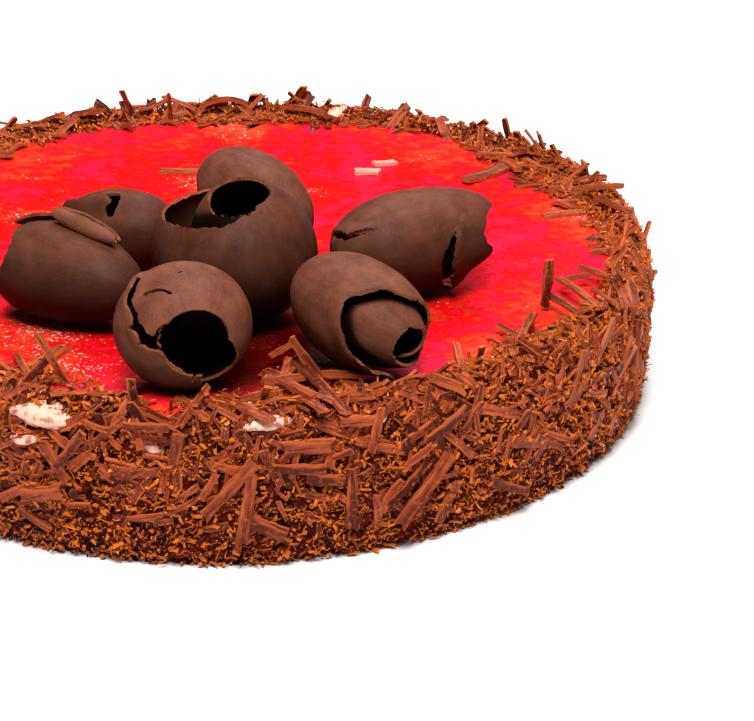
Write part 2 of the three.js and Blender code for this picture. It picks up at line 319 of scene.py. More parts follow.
def turned(name, profile, around, sway_from):
    """A profile of (radius, height) points turned round the Z axis, swaying from a radius outwards."""
    fade = 4 * MM
    on_axis = 1e-6
    points, rings, faces = [], [], []
    for radius, height in profile:
        ring = []
        for i in range(1 if radius < on_axis else around):
            angle = 2 * math.pi * i / around
            out = radius + outline_sway(angle) * smoothstep(radius, sway_from, sway_from + fade)
            ring.append(len(points))
            points.append((out * math.cos(angle), out * math.sin(angle), height))
        rings.append(ring)
    for low, high in zip(rings, rings[1:]):
        for i in range(around):
            j = (i + 1) % around
            quad = [low[i % len(low)], low[j % len(low)], high[j % len(high)], high[i % len(high)]]
            faces.append(list(dict.fromkeys(quad)))
    return new_mesh(name, points, faces)


# Node trees that shape the pieces


def relief_tree():
    """Pushes a surface in and out along its normals by broad lumps and fine grain, and keeps how far."""
    tree, given = new_tree("Lumpy relief", {
        "Lump height": "Float", "Lump size": "Float", "Grain height": "Float", "Grain size": "Float",
        "Seed": "Float", "Material": "Material"})
    place = add(tree, "GeometryNodeInputPosition")
    total = None
    for kind, detail in (("Lump", 1.0), ("Grain", 3.0)):
        scale = add(tree, "ShaderNodeMath", [1.0, given[kind + " size"]], operation="DIVIDE")
        bumps = add(tree, "ShaderNodeTexNoise", {
            "Vector": place, "W": given["Seed"], "Scale": scale, "Detail": detail}, noise_dimensions="4D")
        centred = add(tree, "ShaderNodeMath", [bumps, 0.5], operation="SUBTRACT")
        high = add(tree, "ShaderNodeMath", [centred, given[kind + " height"]], operation="MULTIPLY")
        total = high if total is None else add(tree, "ShaderNodeMath", [total, high], operation="ADD")
    noted = add(tree, "GeometryNodeStoreNamedAttribute", {
        "Geometry": given["Geometry"], "Name": "relief", "Value": total}, data_type="FLOAT", domain="POINT")
    kept = add(tree, "GeometryNodeInputNamedAttribute", {"Name": "relief"}, data_type="FLOAT")
    normal = add(tree, "GeometryNodeInputNormal")
    offset = add(tree, "ShaderNodeVectorMath", {"Vector": normal, "Scale": kept}, operation="SCALE")
    moved = add(tree, "GeometryNodeSetPosition", {"Geometry": noted, "Offset": offset})
    smooth = add(tree, "GeometryNodeSetShadeSmooth", {"Geometry": moved})
    whole = add(tree, "GeometryNodeRealizeInstances", {"Geometry": smooth})
    done = add(tree, "GeometryNodeSetMaterial", {"Geometry": whole, "Material": given["Material"]})
    add(tree, "NodeGroupOutput", [done])
    return tree


def strewn_turn(tree, given, upright):
    """How each strewn piece is turned: tilted out of the surface, then spun on its face."""
    # A cubed draw makes most pieces lie nearly flat and lets a few stand up.
    swing = add(tree, "FunctionNodeRandomValue", {
        "Min": (-1, -1, 0), "Max": (1, 1, 0), "Seed": given["Seed"]}, data_type="FLOAT_VECTOR")
    squared = add(tree, "ShaderNodeVectorMath", [swing, swing], operation="MULTIPLY")
    cubed = add(tree, "ShaderNodeVectorMath", [squared, swing], operation="MULTIPLY")
    tilt = add(tree, "ShaderNodeVectorMath", {"Vector": cubed, "Scale": given["Tilt"]}, operation="SCALE")
    tilted = add(tree, "FunctionNodeRotateRotation", {
        "Rotation": upright, "Rotate By": tilt}, rotation_space="LOCAL")
    spin = add(tree, "FunctionNodeRandomValue", {
        "Min": (0, 0, 0), "Max": (0, 0, 2 * math.pi), "Seed": given["Seed"]}, data_type="FLOAT_VECTOR")
    return add(tree, "FunctionNodeRotateRotation", {
        "Rotation": tilted, "Rotate By": spin}, rotation_space="LOCAL")


def place_above(tree, ground):
    """Each point's place, raised to the ground where it lies lower."""
    place = add(tree, "ShaderNodeSeparateXYZ", [add(tree, "GeometryNodeInputPosition")])
    above = add(tree, "ShaderNodeMath", [place.outputs["Z"], ground], operation="MAXIMUM")
    return add(tree, "ShaderNodeCombineXYZ", [place.outputs["X"], place.outputs["Y"], above])


def strewn_tree():
    """Strews pieces of a collection over a surface, each turned, tilted, lifted and sized at random."""
    tree, given = new_tree("Strewn pieces", {
        "Pieces": "Collection", "Density": "Float", "Cover": "String", "Least lift": "Float",
        "Most lift": "Float", "Tilt": "Float", "Least scale": "Vector", "Most scale": "Vector",
        "Ground": "Float", "Seed": "Int", "Material": "Material"})
    cover = add(tree, "GeometryNodeInputNamedAttribute", {"Name": given["Cover"]}, data_type="FLOAT")
    density = add(tree, "ShaderNodeMath", [given["Density"], cover], operation="MULTIPLY")
    points = add(tree, "GeometryNodeDistributePointsOnFaces", {
        "Mesh": given["Geometry"], "Density": density, "Seed": given["Seed"]}, distribute_method="RANDOM")
    lift = add(tree, "FunctionNodeRandomValue", {
        "Min": given["Least lift"], "Max": given["Most lift"], "Seed": given["Seed"]}, data_type="FLOAT")
    offset = add(tree, "ShaderNodeVectorMath", {
        "Vector": points.outputs["Normal"], "Scale": lift}, operation="SCALE")
    lifted = add(tree, "GeometryNodeSetPosition", {"Geometry": points.outputs["Points"], "Offset": offset})
    turn = strewn_turn(tree, given, points.outputs["Rotation"])
    scale = add(tree, "FunctionNodeRandomValue", {
        "Min": given["Least scale"], "Max": given["Most scale"], "Seed": given["Seed"]},
        data_type="FLOAT_VECTOR")
    kinds = add(tree, "GeometryNodeCollectionInfo", {
        "Collection": given["Pieces"], "Separate Children": True, "Reset Children": True})
    copies = add(tree, "GeometryNodeInstanceOnPoints", {
        "Points": lifted, "Instance": kinds, "Pick Instance": True, "Rotation": turn, "Scale": scale})
    tone = add(tree, "FunctionNodeRandomValue", {
        "Min": 0.0, "Max": 1.0, "Seed": given["Seed"]}, data_type="FLOAT")
    toned = add(tree, "GeometryNodeStoreNamedAttribute", {
        "Geometry": copies, "Name": "tone", "Value": tone}, data_type="FLOAT", domain="INSTANCE")
    whole = add(tree, "GeometryNodeRealizeInstances", {"Geometry": toned})
    clear = add(tree, "GeometryNodeSetPosition", {
        "Geometry": whole, "Position": place_above(tree, given["Ground"])})
    done = add(tree, "GeometryNodeSetMaterial", {"Geometry": clear, "Material": given["Material"]})
    add(tree, "NodeGroupOutput", [done])
    return tree


def sheet_turns(tree, given, x, share):
    """How many turns in from the outer edge each point of a shaving lies, as that edge wanders to and fro."""
    even = add(tree, "ShaderNodeMath", [share, given["Turns"]], operation="MULTIPLY")
    lip_place = add(tree, "ShaderNodeCombineXYZ", [x, given["Seed"], 0.0])
    lip_noise = add(tree, "ShaderNodeTexNoise", {
        "Vector": lip_place, "Scale": 2.6, "Detail": 6.0, "Roughness": 0.66})
    lip_size = add(tree, "ShaderNodeMapRange", {
        "Value": share, "From Min": 0.0, "From Max": 0.12, "To Min": given["Lip tear"], "To Max": 0.0})
    lip_shift = add(tree, "ShaderNodeMath", [lip_noise, lip_size], operation="MULTIPLY")
    return add(tree, "ShaderNodeMath", [even, lip_shift], operation="ADD")


def roll_radius(tree, given, x, turns):
    """How far from the axis each point of a roll lies: wound in, drawn in towards its ends and dented."""
    from_bulge = add(tree, "ShaderNodeMath", [x, given["Bulge"]], operation="SUBTRACT")
    before = add(tree, "ShaderNodeMath", [from_bulge, 0.0], operation="GREATER_THAN")
    pinch = add(tree, "GeometryNodeSwitch", {
        "Switch": before, "False": given["Rear pinch"], "True": given["Front pinch"]}, input_type="FLOAT")
    pinched = add(tree, "ShaderNodeMath", [from_bulge, pinch], operation="MULTIPLY")
    pinched_square = add(tree, "ShaderNodeMath", [pinched, pinched], operation="MULTIPLY")
    square_left = add(tree, "ShaderNodeMath", [1.0, pinched_square], operation="SUBTRACT")
    barrel = add(tree, "ShaderNodeMath", [square_left], operation="SQRT")
    loss = add(tree, "ShaderNodeMath", [turns, given["Tighten"]], operation="MULTIPLY")
    kept = add(tree, "ShaderNodeMath", [1.0, loss], operation="SUBTRACT")
    wound = add(tree, "ShaderNodeMath", [kept, given["Radius"]], operation="MULTIPLY")
    smooth_radius = add(tree, "ShaderNodeMath", [wound, barrel], operation="MULTIPLY")
    dent_place = add(tree, "ShaderNodeCombineXYZ", [x, turns, given["Seed"]])
    dent_noise = add(tree, "ShaderNodeTexNoise", {"Vector": dent_place, "Scale": 3.0, "Detail": 1.0})
    dent_centred = add(tree, "ShaderNodeMath", [dent_noise, 0.5], operation="SUBTRACT")
    dent_depth = add(tree, "ShaderNodeMath", [given["Dent"], barrel], operation="MULTIPLY")
    dent = add(tree, "ShaderNodeMath", [dent_centred, dent_depth], operation="MULTIPLY")
    return add(tree, "ShaderNodeMath", [smooth_radius, dent], operation="ADD")


def roll_place(tree, given, x, turns):
    """Where each point of a rolled shaving lies: along the X axis and round it."""
    radius = roll_radius(tree, given, x, turns)
    swept = add(tree, "ShaderNodeMath", [turns, 2 * math.pi], operation="MULTIPLY")
    signed = add(tree, "ShaderNodeMath", [swept, given["Way"]], operation="MULTIPLY")
    angle = add(tree, "ShaderNodeMath", [signed, given["Start"]], operation="ADD")
    across = add(tree, "ShaderNodeMath", [angle], operation="COSINE")
    upright = add(tree, "ShaderNodeMath", [angle], operation="SINE")
    y = add(tree, "ShaderNodeMath", [radius, across], operation="MULTIPLY")
    z = add(tree, "ShaderNodeMath", [radius, upright], operation="MULTIPLY")
    drawn_in = add(tree, "ShaderNodeMath", [turns, given["Shorten"]], operation="MULTIPLY")
    long_left = add(tree, "ShaderNodeMath", [1.0, drawn_in], operation="SUBTRACT")
    half_length = add(tree, "ShaderNodeMath", [given["Length"], 0.5], operation="MULTIPLY")
    half = add(tree, "ShaderNodeMath", [half_length, long_left], operation="MULTIPLY")
    out = add(tree, "ShaderNodeMath", [x, half], operation="MULTIPLY")
    return add(tree, "ShaderNodeCombineXYZ", [out, y, z])


def rolled_tree():
    """A shaving rolled up round the X axis, drawn in towards its ends and uneven along its outer edge."""
    tree, given = new_tree("Rolled shaving", {
        "Along": "Int", "Around": "Int", "Length": "Float", "Radius": "Float", "Turns": "Float",
        "Tighten": "Float", "Shorten": "Float", "Bulge": "Float", "Rear pinch": "Float",
        "Front pinch": "Float", "Start": "Float", "Way": "Float", "Lip tear": "Float", "Dent": "Float",
        "Seed": "Float", "Material": "Material"})
    grid = add(tree, "GeometryNodeMeshGrid", {
        "Size X": 2.0, "Size Y": 1.0, "Vertices X": given["Along"], "Vertices Y": given["Around"]})
    flat = add(tree, "ShaderNodeSeparateXYZ", [add(tree, "GeometryNodeInputPosition")])
    # Points crowd towards the ends, where the roll curves in most.
    crowd = add(tree, "ShaderNodeMath", [flat.outputs["X"], math.pi / 2], operation="MULTIPLY")
    x = add(tree, "ShaderNodeMath", [crowd], operation="SINE")
    share = add(tree, "ShaderNodeMath", [flat.outputs["Y"], 0.5], operation="ADD")
    turns = sheet_turns(tree, given, x, share)
    # Keeps where each point lies on the flat shaving: along the roll and turns in from the outer edge.
    sheet_place = add(tree, "ShaderNodeCombineXYZ", [x, turns, 0.0])
    noted = add(tree, "GeometryNodeStoreNamedAttribute", {
        "Geometry": grid, "Name": "sheet", "Value": sheet_place}, data_type="FLOAT_VECTOR", domain="POINT")
    rolled = add(tree, "GeometryNodeSetPosition", {
        "Geometry": noted, "Position": roll_place(tree, given, x, turns)})
    turned_out = add(tree, "ShaderNodeMath", [given["Way"], 0.0], operation="GREATER_THAN")
    facing = add(tree, "GeometryNodeFlipFaces", {"Mesh": rolled, "Selection": turned_out})
    smooth = add(tree, "GeometryNodeSetShadeSmooth", {"Geometry": facing})
    whole = add(tree, "GeometryNodeRealizeInstances", {"Geometry": smooth})
    done = add(tree, "GeometryNodeSetMaterial", {"Geometry": whole, "Material": given["Material"]})
    add(tree, "NodeGroupOutput", [done])
    return tree


# Finishes


def grated_chocolate(name, face, dark, broken, gloss):
    """Milk chocolate scraped off a block: each piece its own brown, grooved, with paler crumbly breaks."""
    material, tree = new_material(name)
    groove_spacing = 0.8 * MM  # coarser than on a real strip, where the grooves are too fine to show
    groove_length = 9 * MM
    mottle_size = 1.3 * MM
    tone = add(tree, "ShaderNodeAttribute", attribute_name="tone")
    edge = add(tree, "ShaderNodeAttribute", attribute_name="broken")
    lie = add(tree, "ShaderNodeAttribute", attribute_name="lie")
    drawn = add(tree, "ShaderNodeMapping", {
        "Vector": lie.outputs["Vector"],
        "Scale": (1 / groove_length, 1 / groove_spacing, 1 / groove_spacing)})
    groove = add(tree, "ShaderNodeTexNoise", {"Vector": drawn, "Scale": 1.0, "Detail": 2.0})
    place = add(tree, "ShaderNodeTexCoord").outputs["Object"]
    mottle = add(tree, "ShaderNodeTexNoise", {
        "Vector": place, "Scale": 1 / mottle_size, "Detail": 4.0, "Roughness": 0.65})
    mixed_tone = add(tree, "ShaderNodeMix", {
        "Factor": 0.3, "A": tone.outputs["Fac"], "B": mottle}, data_type="FLOAT")
    shade = add(tree, "ShaderNodeMapRange", {
        "Value": mixed_tone, "From Min": 0.28, "From Max": 0.82, "To Min": 0.0, "To Max": 1.0})
    faces = add(tree, "ShaderNodeMix", {"Factor": shade, "A": dark, "B": face}, data_type="RGBA")
    # Painted shade: the grooves are darkened towards the dark colour.
    deep = add(tree, "ShaderNodeMapRange", {
        "Value": groove, "From Min": 0.5, "From Max": 0.36, "To Min": 0.0, "To Max": 0.8})
    grooved = add(tree, "ShaderNodeMix", {"Factor": deep, "A": faces, "B": dark}, data_type="RGBA")
    crumbs = add(tree, "ShaderNodeMapRange", {
        "Value": mottle, "From Min": 0.56, "From Max": 0.7, "To Min": 0.0, "To Max": 0.5})
    # Painted highlight: the ridges between the grooves are lightened towards the break colour.
    ridge_highlight = add(tree, "ShaderNodeMapRange", {
        "Value": groove, "From Min": 0.56, "From Max": 0.68, "To Min": 0.0, "To Max": 0.6})
    # Real crumbs, crumbly breaks and the painted ridge highlight all take the break colour.
    scraped = add(tree, "ShaderNodeMath", [crumbs, ridge_highlight], operation="MAXIMUM")
    break_share = add(tree, "ShaderNodeMath", [edge.outputs["Fac"], 0.7], operation="MULTIPLY")
    crumbly = add(tree, "ShaderNodeMath", [break_share, scraped], operation="MAXIMUM")
    colour = add(tree, "ShaderNodeMix", {"Factor": crumbly, "A": grooved, "B": broken}, data_type="RGBA")
    grain = add(tree, "ShaderNodeMath", [groove, mottle], operation="ADD")
    bump = add(tree, "ShaderNodeBump", {"Strength": 0.8, "Distance": 0.3 * MM, "Height": grain})
    shader = add(tree, "ShaderNodeBsdfPrincipled", {
        "Base Color": colour, "Roughness": 0.45, "Specular IOR Level": gloss, "Normal": bump})
    add(tree, "ShaderNodeOutputMaterial", {"Surface": shader})
    return material


def crumbled_chocolate(name, pale, dark, depth):
    """Chocolate rubbed to crumbs: rough and dull, with painted shade, paler where it stands out and darker in
    the gaps.
    """
    material, tree = new_material(name)
    clump_size = 2.5 * MM
    place = add(tree, "ShaderNodeTexCoord").outputs["Object"]
    clump = add(tree, "ShaderNodeTexNoise", {
        "Vector": place, "Scale": 1 / clump_size, "Detail": 5.0, "Roughness": 0.6})
    relief = add(tree, "ShaderNodeAttribute", attribute_name="relief")
    # Painted shade: paler on the lumps of the relief and darker in its pits.
    relief_shading = add(tree, "ShaderNodeMapRange", {
        "Value": relief.outputs["Fac"], "From Min": -depth, "From Max": depth, "To Min": 0.0, "To Max": 1.0})
    mixed = add(tree, "ShaderNodeMix", {"Factor": 0.5, "A": relief_shading, "B": clump}, data_type="FLOAT")
    shade = add(tree, "ShaderNodeMapRange", {
        "Value": mixed, "From Min": 0.36, "From Max": 0.64, "To Min": 0.0, "To Max": 1.0})
    colour = add(tree, "ShaderNodeMix", {"Factor": shade, "A": dark, "B": pale}, data_type="RGBA")
    bump = add(tree, "ShaderNodeBump", {"Strength": 0.8, "Distance": 0.4 * MM, "Height": clump})
    shader = add(tree, "ShaderNodeBsdfPrincipled", {
        "Base Color": colour, "Roughness": 0.8, "Specular IOR Level": 0.12, "Normal": bump})
    add(tree, "ShaderNodeOutputMaterial", {"Surface": shader})
    return material


def whipped_cream(colours):
    """Whipped cream: soft white with warm painted shade in its hollows, brown smudges of chocolate and a low
    wet sheen.
    """
    material, tree = new_material("Whipped cream")
    fold_size = 2.5 * MM
    place = add(tree, "ShaderNodeTexCoord").outputs["Object"]
    fold = add(tree, "ShaderNodeTexNoise", {"Vector": place, "Scale": 1 / fold_size, "Detail": 4.0})
    # Painted shade: the hollows of the folds are warmer and darker.
    white = add(tree, "ShaderNodeMix", {
        "Factor": fold, "A": linear("#e29a7c"), "B": colours.cream}, data_type="RGBA")
    smudge = add(tree, "ShaderNodeMapRange", {
        "Value": fold, "From Min": 0.46, "From Max": 0.36, "To Min": 0.0, "To Max": 0.8})
    colour = add(tree, "ShaderNodeMix", {
        "Factor": smudge, "A": white, "B": linear("#96452e")}, data_type="RGBA")
    bump = add(tree, "ShaderNodeBump", {"Strength": 0.4, "Distance": 0.3 * MM, "Height": fold})
    shader = add(tree, "ShaderNodeBsdfPrincipled", {
        "Base Color": colour, "Roughness": 0.5, "Specular IOR Level": 0.4, "Subsurface Weight": 0.2,
        "Subsurface Radius": (2 * MM, 1.2 * MM, 0.8 * MM), "Normal": bump})
    add(tree, "ShaderNodeOutputMaterial", {"Surface": shader})
    return material


def glaze_red(tree, colours, plan, streak, patch):
    """The reds of a glaze: deep in the streaks, pink where it has soaked in and pale where it lies thin."""
    deep = add(tree, "ShaderNodeMapRange", {
        "Value": streak, "From Min": 0.42, "From Max": 0.68, "To Min": 0.0, "To Max": 0.9})
    red = add(tree, "ShaderNodeMix", {
        "Factor": deep, "A": colours.jelly, "B": colours.jelly_deep}, data_type="RGBA")
    both = add(tree, "ShaderNodeMix", {"Factor": 0.5, "A": streak, "B": patch}, data_type="FLOAT")
    soaked = add(tree, "ShaderNodeMapRange", {
        "Value": both, "From Min": 0.5, "From Max": 0.4, "To Min": 0.0, "To Max": 0.6})
    pink = add(tree, "ShaderNodeMix", {
        "Factor": soaked, "A": red, "B": colours.jelly_pink}, data_type="RGBA")
    out = add(tree, "ShaderNodeVectorMath", [plan], operation="LENGTH")
    rim = add(tree, "ShaderNodeMapRange", {
        "Value": out, "From Min": 70 * MM, "From Max": 108 * MM, "To Min": 0.0, "To Max": 0.1})
    thinness = add(tree, "ShaderNodeMath", [both, rim], operation="ADD")
    thin = add(tree, "ShaderNodeMapRange", {
        "Value": thinness, "From Min": 0.54, "From Max": 0.7, "To Min": 0.0, "To Max": 0.75})
    return add(tree, "ShaderNodeMix", {
        "Factor": thin, "A": pink, "B": colours.jelly_pale}, data_type="RGBA")


def glaze_glint(tree, place, plan, patch):
    """Where painted specks of light lie on a wet glaze, most of them crowded round one spot at the front."""
    glint_size = 0.9 * MM
    glint_crowd_spot = (-38 * MM, -90 * MM, 0)
    speck = add(tree, "ShaderNodeTexNoise", {"Vector": place, "Scale": 1 / glint_size, "Detail": 2.0})
    away = add(tree, "ShaderNodeVectorMath", [plan, glint_crowd_spot], operation="DISTANCE")
    glint_crowding = add(tree, "ShaderNodeMapRange", {
        "Value": away, "From Min": 8 * MM, "From Max": 34 * MM, "To Min": 0.14, "To Max": 0.0})
    strewn = add(tree, "ShaderNodeMath", [speck, patch], operation="ADD")
    sparkle = add(tree, "ShaderNodeMath", [strewn, glint_crowding], operation="ADD")
    return add(tree, "ShaderNodeMapRange", {
        "Value": sparkle, "From Min": 1.26, "From Max": 1.34, "To Min": 0.0, "To Max": 0.7})


def strawberry_jelly(colours):
    """Strawberry glaze brushed over cream: wet bright red, streaked, pink or pale where the cream shows."""
    material, tree = new_material("Strawberry jelly glaze")
    streak_length = 4.5 * MM
    streak_width = 4 * MM
    patch_size = 30 * MM
    ripple_size = 1.6 * MM
    amid_curls = (8 * MM, -80 * MM, 0)
    place = add(tree, "ShaderNodeTexCoord").outputs["Object"]
    plan = add(tree, "ShaderNodeVectorMath", [place, (1, 1, 0)], operation="MULTIPLY")
    brushed = add(tree, "ShaderNodeMapping", {
        "Vector": place, "Scale": (1 / streak_length, 1 / streak_width, 1 / streak_width)})
    streak = add(tree, "ShaderNodeTexNoise", {
        "Vector": brushed, "Scale": 1.0, "Detail": 6.0, "Roughness": 0.65})
    patch = add(tree, "ShaderNodeTexNoise", {"Vector": place, "Scale": 1 / patch_size, "Detail": 3.0})
    # Specks of light on the wet ripples are drawn in the colour, as they are too fine to come from the lamps.
    wet = add(tree, "ShaderNodeMix", {
        "Factor": glaze_glint(tree, place, plan, patch), "A": glaze_red(tree, colours, plan, streak, patch),
        "B": linear("#ffd8d0")}, data_type="RGBA")
    # Painted shadow: the curls stand so close that the jelly between them lies in deep shade, so it is
    # darkened nearly to black.
    away = add(tree, "ShaderNodeVectorMath", [plan, amid_curls], operation="DISTANCE")
    shade = add(tree, "ShaderNodeMapRange", {
        "Value": away, "From Min": 14 * MM, "From Max": 38 * MM, "To Min": 0.92, "To Max": 0.0})
    colour = add(tree, "ShaderNodeMix", {
        "Factor": shade, "A": wet, "B": linear("#1c0101")}, data_type="RGBA")
    ripple = add(tree, "ShaderNodeTexNoise", {"Vector": place, "Scale": 1 / ripple_size, "Detail": 3.0})
    waves = add(tree, "ShaderNodeMix", {"Factor": 0.5, "A": ripple, "B": streak}, data_type="FLOAT")
    bump = add(tree, "ShaderNodeBump", {"Strength": 0.7, "Distance": 0.6 * MM, "Height": waves})
    shader = add(tree, "ShaderNodeBsdfPrincipled", {
        "Base Color": colour, "Roughness": 0.3, "IOR": 1.35, "Specular IOR Level": 0.1, "Coat Weight": 0.05,
        "Coat Roughness": 0.1, "Normal": bump})
    add(tree, "ShaderNodeOutputMaterial", {"Surface": shader})
    return material


def rolled_chocolate(colours):
    """Dark chocolate shaved in one warm sheet: dull satin, faintly clouded and grained, black in shade."""
    material, tree = new_material("Rolled chocolate shaving")
    usual_half_length = 20 * MM
    usual_girth = 94 * MM
    streak_length = 10 * MM
    streak_width = 2.35 * MM
    cloud_size = 6 * MM
    grain_size = 0.5 * MM
    place = add(tree, "ShaderNodeTexCoord").outputs["Object"]
    sheet = add(tree, "ShaderNodeAttribute", attribute_name="sheet")
    drawn = add(tree, "ShaderNodeMapping", {
        "Vector": sheet.outputs["Vector"],
        "Scale": (usual_half_length / streak_length, usual_girth / streak_width, 1.0)})
    streak = add(tree, "ShaderNodeTexNoise", {"Vector": drawn, "Scale": 1.0, "Detail": 4.0})
    cloud = add(tree, "ShaderNodeTexNoise", {"Vector": place, "Scale": 1 / cloud_size, "Detail": 3.0})
    bloom = add(tree, "ShaderNodeMix", {"Factor": 0.7, "A": streak, "B": cloud}, data_type="FLOAT")
    shade = add(tree, "ShaderNodeMapRange", {
        "Value": bloom, "From Min": 0.35, "From Max": 0.65, "To Min": 0.0, "To Max": 1.0})
    sheet_colour = add(tree, "ShaderNodeMix", {
        "Factor": shade, "A": colours.curl_dark, "B": colours.curl}, data_type="RGBA")
    grain = add(tree, "ShaderNodeTexNoise", {"Vector": place, "Scale": 1 / grain_size, "Detail": 2.0})
    speck = add(tree, "ShaderNodeMapRange", {
        "Value": grain, "From Min": 0.5, "From Max": 0.75, "To Min": 0.0, "To Max": 0.4})
    grainy = add(tree, "ShaderNodeMix", {
        "Factor": speck, "A": sheet_colour, "B": linear("#84523e")}, data_type="RGBA")
    # Painted shade: the curl is darkened to near black where it lies low among the others or under its outer
    # turn.
    lit = add(tree, "ShaderNodeAttribute", attribute_name="lit")
    colour = add(tree, "ShaderNodeMix", {
        "Factor": lit.outputs["Fac"], "A": linear("#120403"), "B": grainy}, data_type="RGBA")
    bump = add(tree, "ShaderNodeBump", {"Strength": 0.25, "Distance": 0.1 * MM, "Height": grain})
    shader = add(tree, "ShaderNodeBsdfPrincipled", {
        "Base Color": colour, "Roughness": 0.55, "Specular IOR Level": 0.08, "Normal": bump})
    add(tree, "ShaderNodeOutputMaterial", {"Surface": shader})
    return material


# Strips, slivers, shreds and crumbs


def bent(x, y, z, curvature):
    """A point of a flat strip along X once the strip is bent round an axis along Y."""
    straight = 1e-6
    if abs(curvature) < straight:
        return (x, y, z)
    radius = 1 / curvature
    angle = x * curvature
    return ((radius - z) * math.sin(angle), y, radius - (radius - z) * math.cos(angle))


def strip_form(size, cells, bend, draw):
    """Points and faces of a thin bent strip along X, ragged at its ends, and how many faces are unbroken."""
    length, width, thickness = size
    along, across = cells
    row = across + 1
    layer_points = (along + 1) * row
    ragged = [draw.uniform(-0.25, 0.25) * width for _ in range(2 * row)]
    sides = [draw.uniform(0.75, 1.1) for _ in range(along + 1)]
    points, faces = [], []
    for layer in (0.5, -0.5):
        for i in range(along + 1):
            for j in range(row):
                end = ragged[j] if i == 0 else ragged[row + j] if i == along else 0
                x = (i / along - 0.5) * length + end
                y = (j / across - 0.5) * width * sides[i]
                points.append(bent(x, y, layer * thickness, bend / length))
    for i in range(along):
        for j in range(across):
            quad = (i * row + j, (i + 1) * row + j, (i + 1) * row + j + 1, i * row + j + 1)
            faces.append(quad)
            faces.append(tuple(layer_points + corner for corner in reversed(quad)))
    unbroken = len(faces)
    edge = [i * row for i in range(along)] + [along * row + j for j in range(across)]
    edge += [i * row + across for i in range(along, 0, -1)] + list(range(across, 0, -1))
    for a, b in zip(edge, edge[1:] + edge[:1]):
        faces.append((layer_points + a, layer_points + b, b, a))
    return points, faces, unbroken


def strip_mesh(name, forms, places, tones):
    """A mesh of strip forms set at places, each with its breaks, lie and tone noted for the finish."""
    points, faces, broken, lie, tone = [], [], [], [], []
    for (form_points, form_faces, unbroken), place, shade in zip(forms, places, tones):
        first = len(points)
        points += [place @ Vector(point) for point in form_points]
        faces += [tuple(first + corner for corner in face) for face in form_faces]
        broken += [0.0] * unbroken + [1.0] * (len(form_faces) - unbroken)
        lie += [value for point in form_points for value in point]
        tone += [shade] * len(form_points)
    mesh = new_mesh(name, points, faces)
    mesh.attributes.new("broken", "FLOAT", "FACE").data.foreach_set("value", broken)
    mesh.attributes.new("lie", "FLOAT_VECTOR", "POINT").data.foreach_set("vector", lie)
    mesh.attributes.new("tone", "FLOAT", "POINT").data.foreach_set("value", tone)
    return mesh


def strip_kinds(name, size, cells, bends, draw):
    """Strips of one size, one for each bend, to strew copies of."""
    meshes = []
    for i, bend in enumerate(bends):
        form = strip_form([side * MM for side in size], cells, bend, draw)
        mesh = strip_mesh(f"{name}_{i}", [form], [Matrix()], [0.5])
        mesh.attributes.remove(mesh.attributes["tone"])
        meshes.append(mesh)
    return meshes


def shred_kinds(name, length, thickness, bends, draw):
    """Three-sided needles, each bent in the middle by an angle, to strew copies of."""
    meshes = []
    for i, bend in enumerate(bends):
        points = []
        for share in (-0.5, 0, 0.5):
            drop = abs(share) * length * math.tan(math.radians(bend) / 2)
            size = draw.uniform(0.6, 1.2) * thickness
            for corner in range(3):
                angle = 2 * math.pi * corner / 3
                points.append((share * length * MM, size / 2 * math.cos(angle) * MM,
                               (size / 2 * math.sin(angle) - drop) * MM))
        faces = [(0, 1, 2), (8, 7, 6)]
        for start in (0, 3):
            for a in range(3):
                b = (a + 1) % 3
                faces.append((start + b, start + a, start + 3 + a, start + 3 + b))
        meshes.append(new_mesh(f"{name}_{i}", points, faces))
    return meshes


def chip_kinds(name, size, count, draw):
    """Small flat chips with uneven corners, to strew copies of."""
    meshes = []
    sides = [(0, 1, 3, 2), (4, 6, 7, 5), (0, 4, 5, 1), (2, 3, 7, 6), (0, 2, 6, 4), (1, 5, 7, 3)]
    for i in range(count):
        points = []
        for corner in range(8):
            signs = (corner >> 2, corner >> 1 & 1, corner & 1)
            points.append([
                (sign - 0.5) * draw.uniform(0.5, 1.3) * side * MM for sign, side in zip(signs, size)])
        meshes.append(new_mesh(f"{name}_{i}", points, sides))
    return meshes


def crumb_kinds(name, size, count, draw):
    """Lumps of eight flat sides, to strew copies of."""
    meshes = []
    corners = [Vector(c) for c in ((1, 0, 0), (0, 1, 0), (-1, 0, 0), (0, -1, 0), (0, 0, 1), (0, 0, -1))]
    sides = [(0, 1, 4), (1, 2, 4), (2, 3, 4), (3, 0, 4), (1, 0, 5), (2, 1, 5), (3, 2, 5), (0, 3, 5)]
    for i in range(count):
        points = [corner * draw.uniform(0.6, 1.3) * size / 2 * MM for corner in corners]
        meshes.append(new_mesh(f"{name}_{i}", points, sides))
    return meshes


def temporary_collection(name, meshes):
    """A collection of one object for each mesh, to strew copies from."""
    collection = bpy.data.collections.new(name)
    for mesh in meshes:
        collection.objects.link(bpy.data.objects.new(mesh.name, mesh))
    return collection


def remove_collection(collection):
    """Removes a temporary collection with its objects."""
    for obj in list(collection.objects):
        bpy.data.objects.remove(obj)
    bpy.data.collections.remove(collection)


# The spots where cream is pushed out through the flakes: angle in degrees, height, width and tallness in mm
SMEARS = [
    (-113, 37, 22, 6.8),
    (-115.5, 31, 12, 4.4),
    (-99.5, 32, 9, 5.4),
    (-87, 38, 19, 5),
    (-73, 36.5, 6, 4),
    (71, 40, 6, 4),
]

